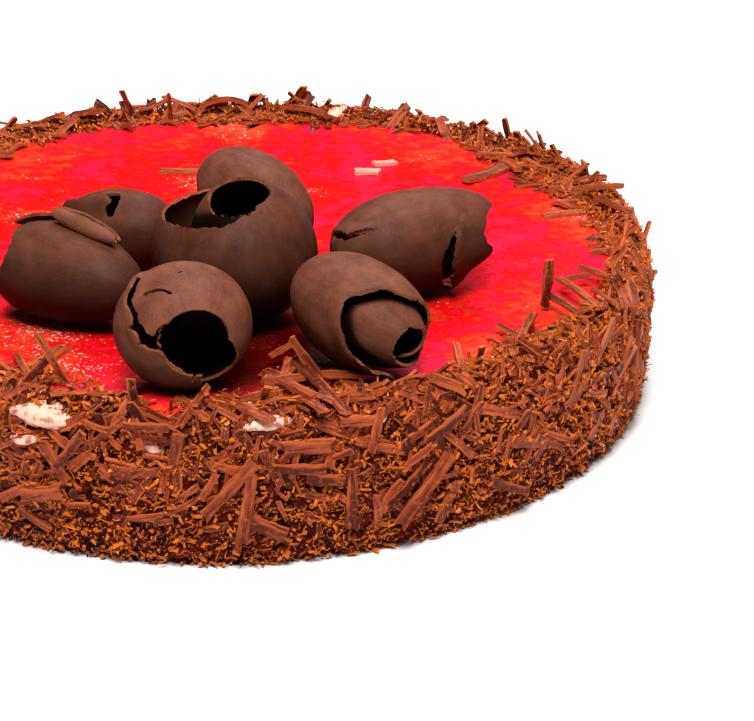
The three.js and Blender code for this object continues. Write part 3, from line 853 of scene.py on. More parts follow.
# Where the coat ends on the jelly: angle in degrees and radius in mm
COAT_EDGE = [
    (-150, 104), (-126, 103), (-123, 95), (-110, 98), (-104, 106), (-100, 114), (-98, 116), (-95, 110),
    (-93, 105), (-88, 102), (-86, 92), (-78, 90), (-76, 98), (-70, 108), (-65, 112), (-58, 106), (-48, 104),
    (-41, 105), (-37, 108), (-32, 112), (-19, 109), (-6, 105), (9, 103), (25, 100), (38, 101), (50, 110),
    (68, 105), (82, 100), (95, 103), (114, 107), (124, 105), (134, 103), (160, 104), (190, 103), (210, 104),
]


def smear_bareness(angle, height):
    """How bare of flakes the coat is at a place, from 0 to 1: bare over the middles of the spots of cream."""
    side_radius = 118  # mm
    raggedness = 0.4
    rag_width, rag_tallness = 2.5, 1.5  # mm
    bare = 0.0
    for at, level, width, tall in SMEARS:
        across = math.radians(turn_between(angle, at)) * side_radius
        up = height / MM - level
        ragged = raggedness * noise.noise(Vector((across / rag_width, up / rag_tallness, at)))
        away = math.hypot(across / (width / 2), up / (tall / 2)) + ragged
        bare = max(bare, 1 - smoothstep(away, 0.3, 0.8))
    return bare


def coat_edge(angle):
    """The radius at which the coat ends on the jelly at an angle, a little uneven."""
    unevenness = 3  # mm
    waves = 15
    first = COAT_EDGE[0][0]
    turn = (math.degrees(angle) - first) % 360 + first
    here = Vector((math.cos(angle), math.sin(angle), 0))
    return (value_on(COAT_EDGE, turn) + unevenness * noise.noise(waves * here)) * MM


def coat_base(sizes):
    """The surface that the coat lies on, with how thickly long and fine pieces cover it."""
    most_reach = 24 * MM
    clump_size = 4.2 * MM
    step = 1.2 * MM
    around = 560
    over_jelly = (sizes.jelly_radius - most_reach, sizes.jelly_level)
    profile = stepped(core_profile(sizes) + [over_jelly], step)
    mesh = turned("coat_base", profile, around, sizes.jelly_radius + GAP + 1 * MM)
    long_cover, fine_cover = [], []
    for vert in mesh.vertices:
        angle = math.atan2(vert.co.y, vert.co.x)
        radius = math.hypot(vert.co.x, vert.co.y)
        edge = coat_edge(angle)
        shown = smoothstep(radius, edge - 2 * MM, edge + 3 * MM)
        bare = smear_bareness(angle, vert.co.z)
        high = smoothstep(vert.co.z, 8 * MM, 34 * MM)
        clumps = noise.noise(vert.co / clump_size) + 0.6 * noise.noise(vert.co / clump_size * 2.3)
        foot = smoothstep(vert.co.z, 4 * MM, 12 * MM)
        long_cover.append(shown * (1 - bare) * foot * lerp(0.35, 1.0, high))
        fine_cover.append(shown * (1 - 0.72 * bare) * lerp(0.25, 1.0, smoothstep(clumps, -0.25, 0.15)))
    mesh.attributes.new("cover_long", "FLOAT", "POINT").data.foreach_set("value", long_cover)
    mesh.attributes.new("cover_fine", "FLOAT", "POINT").data.foreach_set("value", fine_cover)
    return mesh


def strew(name, base, tree, meshes, values):
    """One piece of all the copies of some meshes, strewn over a base mesh."""
    collection = temporary_collection(name + "_kinds", meshes)
    obj = new_object(name, base.copy())
    run_tree(obj, tree, dict(values, Pieces=collection))
    remove_collection(collection)
    return obj


class Strewn(NamedTuple):
    """One kind of piece on the coat."""

    name: str
    meshes: list
    count: float  # on a square centimetre
    cover: str  # the attribute that says how thickly it covers the coat
    lift: tuple  # least and most over the coat, mm
    tilt: float  # most, degrees
    least: tuple  # scale
    most: tuple
    material: bpy.types.Material


def strewn_kinds(counts, draw, flaky, crumbly):
    """The kinds of pieces on the coat, from long strips to grit."""
    strip_bends = (0, -0.2, -0.3, -0.5, -0.8, 0.15, -1.1, 0.4)
    sliver_bends = (0, -0.3, -0.5, -0.8, 0.3)
    strips = strip_kinds("strip", (11.5, 2.3, 0.8), (5, 2), strip_bends, draw)
    slivers = strip_kinds("sliver", (6, 1.1, 0.7), (3, 1), sliver_bends, draw)
    chips = chip_kinds("chip", (1.7, 0.8, 0.45), 8, draw)
    shreds = shred_kinds("shred", 2.0, 0.4, (20, 50, 80, 120), draw)
    crumbs = crumb_kinds("crumb", 0.9, 6, draw)
    grit = crumb_kinds("grit", 0.5, 6, draw)
    return [
        Strewn("strips", strips, counts.strips, "cover_long", (0.3, 2.0), 22,
               (0.45, 0.7, 0.8), (1.45, 1.3, 1.2), flaky),
        Strewn("slivers", slivers, counts.slivers, "cover_long", (0.2, 1.8), 34,
               (0.45, 0.5, 0.7), (1.4, 1.4, 1.3), flaky),
        Strewn("chips", chips, counts.chips, "cover_fine", (-0.2, 2.0), 120,
               (0.4, 0.5, 0.6), (1.5, 1.5, 1.4), crumbly),
        Strewn("shreds", shreds, counts.shreds, "cover_fine", (0.2, 2.4), 110,
               (0.5, 0.6, 0.6), (1.5, 1.4, 1.4), crumbly),
        Strewn("crumbs", crumbs, counts.crumbs, "cover_fine", (-0.2, 1.6), 90,
               (0.6, 0.5, 0.4), (1.8, 1.5, 1.3), crumbly),
        Strewn("grit", grit, counts.grit, "cover_fine", (0, 1.9), 90,
               (0.6, 0.6, 0.6), (1.6, 1.4, 1.4), crumbly),
    ]


class CAKE_OT_coat(bpy.types.Operator):
    """Strew chocolate strips, slivers, shreds and crumbs over the side and rim"""

    bl_idname = "cake.coat"
    bl_label = "Strew the chocolate coat"

    def execute(self, context):
        sizes = context.scene.cake_sizes
        counts = context.scene.cake_counts
        colours = context.scene.cake_colours
        per_cm2 = 1e4
        tree = strewn_tree()
        base = coat_base(sizes)
        flaky = grated_chocolate(
            "Grated milk chocolate", colours.flake, colours.flake_dark, colours.broken, gloss=0.1)
        crumbly = grated_chocolate(
            "Crumbled milk chocolate", colours.crumb, colours.crumb_dark, linear("#e88a2c"), gloss=0.3)
        for i, kind in enumerate(strewn_kinds(counts, random.Random(counts.seed), flaky, crumbly)):
            obj = strew(kind.name, base, tree, kind.meshes, {
                "Density": kind.count * per_cm2, "Cover": kind.cover, "Least lift": kind.lift[0] * MM,
                "Most lift": kind.lift[1] * MM, "Tilt": math.radians(kind.tilt), "Least scale": kind.least,
                "Most scale": kind.most, "Ground": GAP, "Seed": counts.seed + i, "Material": kind.material})
            hand_over(obj, "chocolate_flakes", "cake_body")
        return {"FINISHED"}


# Strips that catch the eye on the rim and side: where the middle lies as an angle in degrees, radius and
# height in mm, the heading and rise of the strip in degrees, its length and width in mm, and its bend
RIM_STRIPS = [
    (-98, 119, 40, -27, -20, 13, 2.6, 0.5),
    (-100, 122, 39.5, -10, 1, 11, 2.2, 0.0),
    (-95, 116, 42, -59, -3, 13, 2.2, 0.1),
    (-89, 116, 42, -38, -6, 17, 2.6, 0.3),
    (-87, 112, 43, 25, 0, 11, 2.0, 0.2),
    (-83, 102, 42, 6, 3, 10, 2.4, 0.1),
    (-82, 110, 43, -53, 0, 13, 2.6, 0.0),
    (-79, 109, 43, -66, -6, 26, 2.8, 0.2),
    (-74, 104, 42, -9, 0, 14, 2.6, 0.1),
    (-76, 121, 38, 14, -6, 9, 2.8, 0.0),
    (-82, 121.5, 33, 8, -2, 12, 3.4, 0.0),
    (-109, 121.5, 31.5, -19, 55, 13, 2.4, 0.1),
    (-74, 121.5, 35, 16, 77, 11, 2.2, 0.1),
    (-91, 122.4, 23, -1, 49, 19, 3.0, 0.1),
    (-89, 122.4, 18, 1, 81, 19, 3.2, 0.1),
    (-77, 122.4, 18, 13, 88, 16, 2.8, 0.2),
    (-68, 122.4, 16.5, 22, 50, 21, 3.6, 0.1),
    (-87, 122.2, 12.5, 3, -29, 11, 3.6, 0.1),
    (-83, 122.2, 27.5, 7, -6, 14, 2.4, 0.2),
    (-70, 122, 19, 20, 44, 14, 2.0, 0.1),
    (-80, 122, 24, 10, -13, 9, 3.4, 0.0),
    (-113, 122.2, 18.5, -23, 18, 12, 4.0, 0.1),
    (-56, 122.2, 10, 34, -29, 14, 2.6, 0.1),
    (-65, 122.2, 33, 25, 29, 13, 2.6, 0.1),
    (-35, 105, 42.5, -63, 0, 15, 2.0, 0.3),
    (-31, 107, 43, -68, -2, 21, 2.2, 0.2),
    (-25, 102, 42, 16, 4, 8, 1.6, 0.0),
    (-45, 106, 42, -109, 0, 20, 2.0, 0.2),
    (-32, 120.5, 25, 52, -78, 32, 2.6, 0.4),
    (-28, 121, 23, -118, -85, 22, 2.8, 0.2),
    (-27, 117, 42, -89, -5, 17, 5.0, 0.3),
    (-22, 106, 42, -54, 3, 11, 2.2, 0.1),
    (12, 112, 43, 2, 2, 15, 2.4, 0.2),
    (4, 112, 43, -64, 0, 16, 2.6, 0.1),
    (-64, 118, 42, -10, -20, 8, 5.0, 0.1),
    (-66, 118, 41, -22, -24, 6, 5.0, 0.1),
    (76, 107, 42.5, -32, 0, 15, 2.8, 0.2),
    (-114, 108, 48, -175, 66, 15, 2.0, 0.3),
    (-116, 107.5, 45, 6, 46, 10, 2.0, 0.1),
    (-102, 116, 45, -177, 85, 8, 2.2, 0.1),
    (-80, 99, 46, 178, 58, 12, 2.2, 0.1),
    (-82, 88, 43.5, 0, 29, 8, 1.6, 0.1),
    (-35, 101, 47, -9, 86, 13, 2.6, 0.2),
    (107, 110, 45.5, -177, 69, 9, 2.0, 0.2),
    (100, 106, 44.5, -178, 88, 8, 1.6, 0.1),
    (91, 111, 44, 1, 8, 19, 2.6, 1.4),
    (120, 112, 44, -40, 25, 10, 2.2, 0.1),
    (114, 112, 43.5, -20, 12, 12, 4.0, 0.2),
]

# Strips fallen on the jelly: place in mm, heading in degrees, length and width in mm, and 1 if they are pale
FALLEN_STRIPS = [
    (-14, 56, -8, 13, 3.6, 0),
    (43, 52, -6, 8, 3.4, 1),
    (49, 59, 10, 7, 3, 1),
    (79, 47, 40, 20, 5, 0),
    (98, 12, 14, 13, 3, 0),
    (-47, -79, 60, 17, 4.4, 0),
    (-75, 42, -25, 12, 3.4, 0),
    (-90, -15, 80, 12, 3.4, 0),
]
STRIP_THICKNESS = 1.1  # mm
STRIP_CELLS = (8, 2)  # along and across


def strip_place(angle, radius, height, heading, rise):
    """Where a strip on the rim or side lies, along its heading and rise and facing front, out or up."""
    steep = 0.5  # the rise to its length past which a strip faces the front
    side = 120  # the radius in mm past which a strip lies on the side
    around = math.radians(angle)
    out = Vector((math.cos(around), math.sin(around), 0))
    level = Vector((math.cos(math.radians(heading)), math.sin(math.radians(heading)), 0))
    along = level * math.cos(math.radians(rise)) + Vector((0, 0, math.sin(math.radians(rise))))
    if abs(along.z) > steep:
        face = Vector((0, -1, 0))
    else:
        face = out if radius > side else Vector((0, 0, 1))
    face = (face - along * face.dot(along)).normalized()
    turn = Matrix((along, face.cross(along), face)).transposed().to_4x4()
    return Matrix.Translation((out * radius + Vector((0, 0, height))) * MM) @ turn


class CAKE_OT_rim_strips(bpy.types.Operator):
    """Lay the strips that catch the eye on the rim and side"""

    bl_idname = "cake.rim_strips"
    bl_label = "Lay the rim strips"

    def execute(self, context):
        colours = context.scene.cake_colours
        draw = random.Random(context.scene.cake_counts.seed)
        forms, places, tones = [], [], []
        for angle, radius, height, heading, rise, length, width, bend in RIM_STRIPS:
            size = (length * MM, width * MM, STRIP_THICKNESS * MM)
            forms.append(strip_form(size, STRIP_CELLS, -bend, draw))
            places.append(strip_place(angle, radius, height, heading, rise))
            tones.append(draw.uniform(0.2, 1.0))
        obj = new_object("rim_strips", strip_mesh("rim_strips", forms, places, tones))
        obj.data.materials.append(grated_chocolate(
            "Grated milk chocolate strip", colours.flake, colours.flake_dark, colours.broken, gloss=0.1))
        hand_over(obj, "chocolate_flakes", "cake_body")
        return {"FINISHED"}


class CAKE_OT_fallen_strips(bpy.types.Operator):
    """Lay the strips that have fallen on the jelly"""

    bl_idname = "cake.fallen_strips"
    bl_label = "Lay the fallen strips"

    def execute(self, context):
        sizes = context.scene.cake_sizes
        colours = context.scene.cake_colours
        draw = random.Random(context.scene.cake_counts.seed)
        brown = (colours.flake, colours.flake_dark, colours.broken)
        pale = (linear("#dc9a84"), linear("#b06048"), linear("#e8b8a4"))
        finishes = [
            ("fallen_strips", "Fallen chocolate", brown),
            ("pale_strips", "Fallen white chocolate", pale),
        ]
        for whiteness, (name, finish, shades) in enumerate(finishes):
            forms, places, tones = [], [], []
            for x, y, heading, length, width, paleness in FALLEN_STRIPS:
                if paleness != whiteness:
                    continue
                size = (length * MM, width * MM, STRIP_THICKNESS * MM)
                forms.append(strip_form(size, STRIP_CELLS, draw.uniform(-0.2, 0.3), draw))
                level = sizes.jelly_level + STRIP_THICKNESS * MM / 2
                turn = Matrix.Rotation(math.radians(heading), 4, "Z")
                places.append(Matrix.Translation((x * MM, y * MM, level)) @ turn)
                tones.append(draw.uniform(0.5, 1.0))
            obj = new_object(name, strip_mesh(name, forms, places, tones))
            obj.data.materials.append(grated_chocolate(finish, *shades, gloss=0.2))
            hand_over(obj, "chocolate_flakes", "jelly")
        return {"FINISHED"}


class CAKE_OT_core(bpy.types.Operator):
    """Make the crumbly core that the coat lies on"""

    bl_idname = "cake.core"
    bl_label = "Make the core"

    def execute(self, context):
        sizes = context.scene.cake_sizes
        colours = context.scene.cake_colours
        bed = sizes.jelly_level - sizes.jelly_thickness - sizes.cream_thickness - 3 * GAP
        edge = sizes.jelly_radius + GAP
        step = 0.9 * MM
        around = 640
        outline = stepped(core_profile(sizes) + [(edge, bed)], step)
        profile = [Vector((0, 0))] + outline + [Vector((0, bed))]
        obj = new_object("cake_core", turned("cake_core", profile, around, edge + 1 * MM))
        # Painted shade: the core is darker in the pits of its relief and paler on its lumps.
        material = crumbled_chocolate(
            "Crumbled chocolate coat", colours.crumb_dark, colours.gap, depth=0.8 * MM)
        run_tree(obj, relief_tree(), {
            "Lump height": 2.0 * MM, "Lump size": 7 * MM, "Grain height": 3.0 * MM, "Grain size": 2.0 * MM,
            "Seed": 2.0, "Material": material})
        for vert in obj.data.vertices:
            vert.co.z = max(vert.co.z, 0.0)
        hand_over(obj, "chocolate_flakes", "cake_body")
        return {"FINISHED"}


def lobe(angle, radius, height, half):
    """The place and size of a lobe at the rim: angle in degrees, and radius, height and half sizes in mm."""
    place = Matrix.Translation((radius * MM, 0, height * MM))
    size = Matrix.Diagonal([side * MM for side in half] + [1])
    return Matrix.Rotation(math.radians(angle), 4, "Z") @ place @ size


def add_lobes(mesh, lobes):
    """Adds round lobes to a mesh."""
    whole = bmesh.new()
    whole.from_mesh(mesh)
    for place in lobes:
        bmesh.ops.create_icosphere(whole, subdivisions=5, radius=1, matrix=place)
    whole.to_mesh(mesh)
    whole.free()


class CAKE_OT_cream(bpy.types.Operator):
    """Make the cream layer and the spots of cream that show through the coat"""

    bl_idname = "cake.cream"
    bl_label = "Make the cream"

    def execute(self, context):
        sizes = context.scene.cake_sizes
        radius = sizes.jelly_radius
        top = sizes.jelly_level - sizes.jelly_thickness - GAP
        bottom = top - sizes.cream_thickness
        around = 96
        mesh = turned("cream", [(0, bottom), (radius, bottom), (radius, top), (0, top)], around, NO_SWAY)
        under_rim = radius / MM + 4  # mm, like the sizes of the spots
        reach = 7.4
        add_lobes(mesh, [
            lobe(angle, under_rim, height, (reach, width / 2, tall / 2))
            for angle, height, width, tall in SMEARS])
        obj = new_object("cream_layer", mesh)
        run_tree(obj, relief_tree(), {
            "Lump height": 2.0 * MM, "Lump size": 5 * MM, "Grain height": 0.5 * MM, "Grain size": 1.5 * MM,
            "Seed": 5.0, "Material": whipped_cream(context.scene.cake_colours)})
        hand_over(obj, "cream", "cream")
        return {"FINISHED"}


# The lobe of jelly that has run out over the rim: angle in degrees, and radius, height and half sizes in mm
SPILL = {"angle": -98.5, "radius": 111, "height": 40, "half": (7, 9.5, 1.8)}


class CAKE_OT_jelly(bpy.types.Operator):
    """Make the strawberry jelly"""

    bl_idname = "cake.jelly"
    bl_label = "Make the jelly"

    def execute(self, context):
        sizes = context.scene.cake_sizes
        bottom = sizes.jelly_level - sizes.jelly_thickness
        top = sizes.jelly_level
        radius = sizes.jelly_radius
        step = 1.4 * MM
        around = 300
        outline = [(0, bottom), (radius, bottom), (radius, top), (0, top)]
        mesh = turned("jelly", stepped(outline, step), around, NO_SWAY)
        add_lobes(mesh, [lobe(**SPILL)])
        obj = new_object("jelly_top", mesh)
        run_tree(obj, relief_tree(), {
            "Lump height": 0.9 * MM, "Lump size": 16 * MM, "Grain height": 0.35 * MM, "Grain size": 5 * MM,
            "Seed": 8.0, "Material": strawberry_jelly(context.scene.cake_colours)})
        hand_over(obj, "strawberry_jelly", "jelly")
        return {"FINISHED"}


# The curls


class End(NamedTuple):
    """An end of a curl: how far it draws in, 1 being shut, and its torn edge if it has one.

    The edge is a line of turns and the share of the half length that the sheet reaches there.
    """

    close: float
    edge: tuple = ((0, 2),)


class Tear(NamedTuple):
    """A crack or hole in a curl: its width in mm and its line, as shares of the half length and turns."""

    width: float
    line: tuple


class Lift(NamedTuple):
    """A raised edge on the left of a line: its height and the width it dies out over in mm, and the line."""

    height: float
    width: float
    line: tuple


class Curl(NamedTuple):
    """A rolled shaving, with lengths in mm and angles in degrees."""

    at: tuple  # middle in plan
    heading: float  # of the axis in plan
    rise: float  # of the axis
    length: float
    radius: float
    turns: float
    tighten: float  # share of the radius lost in a turn
    shorten: float  # share of the length lost in a turn
    bulge: float  # where it is thickest, as a share of the half length
    squash: float  # height to width
    start: float  # where round the axis the outer edge lies
    way: int  # which way it winds
    rear: End
    front: End
    tears: tuple = ()
    lifts: tuple = ()
    lip: tuple = ((0, 0),)  # shares of the half length, and the turns that are torn off the outer edge there
    shade: float = 20  # how high over the jelly it lies in the shade of the others


SHUT = End(0.998)

CURLS = {
    "curl_far_left": Curl(
        (-40.3, -54.9), -33.6, 0, 46.8, 14.9, 1.35, 0.12, 0.12, -0.34, 0.95, 84, -1,
        End(0.8, ((0, 0.92), (0.5, 1), (0.65, 0.9), (0.75, 0.72), (0.86, 0.64), (0.93, 0.76), (1, 0.9))),
        SHUT, lip=((-0.45, 0), (-0.32, 0.1), (-0.2, 0.24), (1, 0.3)), shade=42),
    "curl_back_left": Curl(
        (-29.7, -20), -18, -1.6, 37, 12.2, 1.2, 0.12, 0.12, 0.13, 1, 20, -1, SHUT, SHUT,
        (Tear(1.2, ((-0.75, 0.75), (-0.5, 0.73), (-0.28, 0.75))),
         Tear(2.6, ((-0.18, 0.74), (-0.02, 0.77), (0.06, 0.71), (0.0, 0.68)))),
        (Lift(2.2, 6, ((-0.1, 0.73), (-0.28, 0.74), (-0.5, 0.72), (-0.75, 0.74))),), shade=36),
    "curl_back": Curl(
        (7.8, -7.8), -45.4, -19, 42, 13.3, 1.2, 0.12, 0.12, 0, 1.04, 270, -1, SHUT, SHUT),
    "curl_centre": Curl(
        (3.5, -54), -110, 80, 35.6, 27, 1.62, 0.38, 0, 0, 1, 100, 1, SHUT,
        End(0.9, ((0, 0.3), (0.06, 0.3), (0.15, 0.4), (0.3, 0.68), (0.36, 0.77), (0.42, 0.84), (0.48, 0.88),
                  (0.54, 0.94), (0.6, 0.98), (0.66, 1.1), (1.1, 1.1), (1.2, 0.95), (1.32, 0.9), (1.38, 0.84),
                  (1.62, 0.84))), shade=56),
    "curl_front": Curl(
        (-11.5, -95.8), -80, 9, 36, 18, 1.75, 0.12, 0.12, 0, 0.9, 285, -1, SHUT,
        End(0.86, ((0, 0.9), (0.03, 1.1), (0.053, 1.1), (0.062, 0.8), (0.07, 1.1), (0.25, 1.1), (0.28, 0.95),
                   (0.38, 0.95), (0.45, 1.1), (0.76, 1.1), (0.85, 0.89), (0.92, 0.47), (1, 0.4), (1.05, 0.6),
                   (1.1, 0.95))),
        (Tear(1.4, ((0.05, 0.435), (0.24, 0.4), (0.34, 0.385), (0.59, 0.37), (0.71, 0.345))),
         Tear(3.6, ((0.74, 0.335), (0.85, 0.312), (1, 0.285))),
         Tear(0.8, ((0.49, 0.42), (0.55, 0.455), (0.73, 0.485))),
         Tear(0.6, ((0.38, 0.52), (0.35, 0.545)))),
        (Lift(1.4, 6, ((0.98, 0.29), (0.8, 0.32), (0.59, 0.37), (0.34, 0.385), (0.05, 0.435))),), shade=26),
    "curl_front_right": Curl(
        (32, -88), -49, -10, 44, 14.6, 2.05, 0.2, 0.1, 0, 1, 270, -1, SHUT,
        End(0.9, ((0, 0.7), (0.1, 0.8), (0.18, 0.68), (0.23, 0.44), (0.28, 0.3), (0.33, 0.22), (0.36, 0.19),
                  (0.39, 0.29), (0.44, 0.43), (0.48, 0.54), (0.52, 0.66), (0.6, 0.7), (0.8, 0.7),
                  (0.95, 0.88), (1, 0.95), (1.25, 0.9), (1.5, 0.97), (1.7, 1.1))),
        lifts=(Lift(1.4, 6, ((0.68, 0.18), (0.44, 0.23), (0.3, 0.28), (0.22, 0.33), (0.19, 0.36),
                             (0.29, 0.39), (0.43, 0.44))),), shade=25),
    "curl_right": Curl(
        (47.4, -41.3), 23, 0, 48.2, 15.5, 1.46, 0.13, 0.1, 0, 0.94, 290, -1, SHUT,
        End(0.75, ((0, 0.34), (0.14, 0.41), (0.2, 0.5), (0.225, 0.58), (0.25, 0.83), (0.28, 0.83),
                   (0.31, 0.76), (0.35, 0.71), (0.38, 0.76), (0.42, 0.83), (0.47, 1), (0.75, 0.9),
                   (0.9, 0.6))),
        (Tear(0.9, ((-0.95, 0.6), (-0.88, 0.46), (-0.71, 0.44))),
         Tear(0.9, ((0.33, 0.38), (0.27, 0.36), (0.19, 0.32))),
         Tear(2.2, ((0.17, 0.32), (0.15, 0.28), (0.24, 0.19)))),
        (Lift(1.8, 7, ((0.33, 0.38), (0.27, 0.36), (0.22, 0.32), (0.2, 0.27), (0.28, 0.18))),
         Lift(1.0, 4, ((-0.93, 0.61), (-0.86, 0.47), (-0.69, 0.45)))), shade=36),
}

# The small roll that lies on the far left curl: its middle in mm, and its shape
TAB_AT = (-36.6, -55.4, 65.2)
TAB = Curl(
    (0, 0), -36, -11, 21, 3.4, 1.5, 0.3, 0, -0.1, 0.85, 60, -1, End(0.85),
    End(0.97, ((0, 0.7), (0.2, 1), (0.4, 0.75), (0.6, 1), (1.1, 0.8))))


def nearest_on(point, line):
    """The distance of a point from a line of points, and whether it lies on the left of the line."""
    least, left = math.inf, False
    for start, end in zip(line, line[1:]):
        step = end - start
        share = min(1.0, max(0.0, (point - start).dot(step) / step.length_squared))
        away = point - start - step * share
        if away.length < least:
            least = away.length
            left = step.cross(point - start) > 0
    return least, left


def lift_edges(sheet_mesh, layer, curl, to_mm):
    """Raises a curl's sheet beside the lines of its lifts."""
    lines = [(lift, [to_mm * Vector(point) for point in lift.line]) for lift in curl.lifts]
    for vert in sheet_mesh.verts:
        place = to_mm * vert[layer].xy
        for lift, line in lines:
            away, left = nearest_on(place, line)
            if left and away < lift.width:
                vert.co += vert.normal * lift.height * MM * (1 - smoothstep(away, 0, lift.width))


def torn_away(place, share, turns, curl, lines):
    """Whether a place on a curl's sheet lies past its torn ends or in a crack or hole, with uneven edges."""
    end_wander = 0.025  # as a share of the half length
    crack_wander = 0.8  # as a share of the crack's width
    spot = Vector((place.x, place.y, curl.radius))
    uneven = noise.noise(spot * 0.3) + 0.6 * noise.noise(spot * 1.1)
    end = curl.front if share > 0 else curl.rear
    if abs(share) > value_on(end.edge, turns) - end_wander * uneven:
        return True
    if turns < value_on(curl.lip, share):
        return True
    return any(nearest_on(place, line)[0] < half * (1 + crack_wander * uneven) for half, line in lines)


def tear_sheet(mesh, curl):
    """Lifts a curl's sheet beside its cracks and takes away what is torn off it."""
    to_mm = Vector((curl.length / 2, 2 * math.pi * curl.radius))
    lines = [(tear.width / 2, [to_mm * Vector(point) for point in tear.line]) for tear in curl.tears]
    whole = bmesh.new()
    whole.from_mesh(mesh)
    whole.normal_update()
    layer = whole.verts.layers.float_vector["sheet"]
    lift_edges(whole, layer, curl, to_mm)
    gone = []
    for face in whole.faces:
        middle = sum((vert[layer] for vert in face.verts), Vector((0, 0, 0))) / len(face.verts)
        if torn_away(to_mm * middle.xy, middle.x, middle.y, curl, lines):
            gone.append(face)
    bmesh.ops.delete(whole, geom=gone, context="FACES")
    smooth_outline(whole)
    whole.to_mesh(mesh)
    whole.free()


def smooth_outline(whole):
    """Evens out the steps along the open edges of a sheet."""
    rounds = 4
    for _ in range(rounds):
        moved = {}
        for vert in whole.verts:
            beside = [edge.other_vert(vert).co for edge in vert.link_edges if edge.is_boundary]
            if len(beside) == 2:
                moved[vert] = vert.co / 2 + (beside[0] + beside[1]) / 4
        for vert, place in moved.items():
            vert.co = place


def roughen_breaks(mesh):
    """Shakes the points of a wall's torn edges, so that the break looks grainy."""
    grain = 0.8 * MM
    depth = 0.2 * MM
    torn = len(mesh.materials) - 1
    rim = {corner for face in mesh.polygons if face.material_index == torn for corner in face.vertices}
    for corner in rim:
        place = mesh.vertices[corner].co
        coarse = noise.noise_vector(place / (4 * grain))
        mesh.vertices[corner].co = place + (coarse + noise.noise_vector(place / grain)) * depth


def roll(name, curl, tree, wall, materials, seed):
    """A curl's rolled wall, its middle at the origin and its axis turned to its heading and rise."""
    cell = 0.5  # mm
    crowding = 1.2  # more cells along, as they crowd towards the ends
    lip_tear = 0.06  # turns
    dent = 0.8 * MM
    sharp = math.radians(50)
    girth = 2 * math.pi * curl.radius
    obj = new_object(name, new_mesh(name, [], []))
    satin, torn = materials
    run_tree(obj, tree, {
        "Along": round(crowding * curl.length / cell), "Around": round(curl.turns * girth / cell),
        "Length": curl.length * MM, "Radius": curl.radius * MM, "Turns": float(curl.turns),
        "Tighten": float(curl.tighten), "Shorten": float(curl.shorten), "Bulge": float(curl.bulge),
        "Rear pinch": curl.rear.close / (1 + curl.bulge), "Front pinch": curl.front.close / (1 - curl.bulge),
        "Start": math.radians(curl.start), "Way": float(curl.way), "Lip tear": lip_tear, "Dent": dent,
        "Seed": seed, "Material": satin})
    tear_sheet(obj.data, curl)
    obj.data.materials.append(torn)
    solid = obj.modifiers.new("Wall", "SOLIDIFY")
    solid.thickness = wall
    solid.offset = -1
    solid.use_rim = True
    solid.material_offset_rim = 1
    settle(obj)
    roughen_breaks(obj.data)
    squash = Matrix.Diagonal((1, 1, curl.squash, 1))
    rise = Matrix.Rotation(-math.radians(curl.rise), 4, "Y")
    obj.data.transform(Matrix.Rotation(math.radians(curl.heading), 4, "Z") @ rise @ squash)
    obj.data.set_sharp_from_angle(angle=sharp)
    return obj


def out_from_under(share, turns, curl):
    """How far a place on a curl's sheet lies out from under the turn over it, from 0 to 1."""
    fade = 0.14  # as a share of the half length
    over = turns - 1
    if over < value_on(curl.lip, share):
        return 1.0
    end = curl.front if share > 0 else curl.rear
    edge = value_on(end.edge, over)
    return smoothstep(abs(share), edge, edge + fade)


def note_light(mesh, curl):
    """Notes how far each point of a curl stands out of the shade on the jelly and under its outer turn."""
    sheet = mesh.attributes["sheet"].data
    lit = []
    for vert, place in zip(mesh.vertices, sheet):
        high = smoothstep(vert.co.z, JELLY_LEVEL, JELLY_LEVEL + curl.shade * MM)
        lit.append(high * out_from_under(place.vector.x, place.vector.y, curl))
    mesh.attributes.new("lit", "FLOAT", "POINT").data.foreach_set("value", lit)


class CAKE_OT_curls(bpy.types.Operator):
    """Roll the seven chocolate curls and set them down on the jelly"""

    bl_idname = "cake.curls"
    bl_label = "Roll the curls"

    def execute(self, context):
        sizes = context.scene.cake_sizes
        colours = context.scene.cake_colours
        # Without a seed, the noise that roughens the torn edges would start from the clock.
        noise.seed_set(context.scene.cake_counts.seed)
        tree = rolled_tree()
        torn = crumbled_chocolate(
            "Torn chocolate edge", colours.curl_torn, colours.curl_dark, depth=1 * MM)
        materials = (rolled_chocolate(colours), torn)
        seed_step = 3.7
        for i, (name, curl) in enumerate(CURLS.items()):
            obj = roll(name + "_roll", curl, tree, sizes.shell, materials, seed_step * i)
            low = min(vert.co.z for vert in obj.data.vertices)
            level = sizes.jelly_level + GAP - low
            obj.data.transform(Matrix.Translation((curl.at[0] * MM, curl.at[1] * MM, level)))
            note_light(obj.data, curl)
            hand_over(obj, "chocolate_curl", name)
        tab = roll("curl_far_left_tab", TAB, tree, sizes.shell, materials, seed_step)
        tab.data.transform(Matrix.Translation(Vector(TAB_AT) * MM))
        note_light(tab.data, TAB)
        hand_over(tab, "chocolate_curl", "curl_far_left")
        return {"FINISHED"}


# The stage

# Lamps: name, place and size in metres, and power in watts
LAMPS = [
    ("front_softbox", (0.0, -0.5, 0.95), 0.4, 15.5),
    ("back_softbox", (0.1, 0.5, 0.9), 0.6, 9),
]
LAMPS_AIM = Vector((0, -20, 30)) * MM
CAMERA_AT = Vector((0, -585.6, 271.8)) * MM
CAMERA_AIM = Vector((42.06, 0, -1.0)) * MM
SENSOR_WIDTH = 36  # mm
PICTURE_WIDTH = 754  # pixels
FOCAL_LENGTH = 2200  # pixels


def aim_at(obj, place, aim):
    """Sets a lamp or a camera at a place, looking at a point."""
    obj.location = place
    obj.rotation_euler = (aim - place).to_track_quat("-Z", "Y").to_euler()


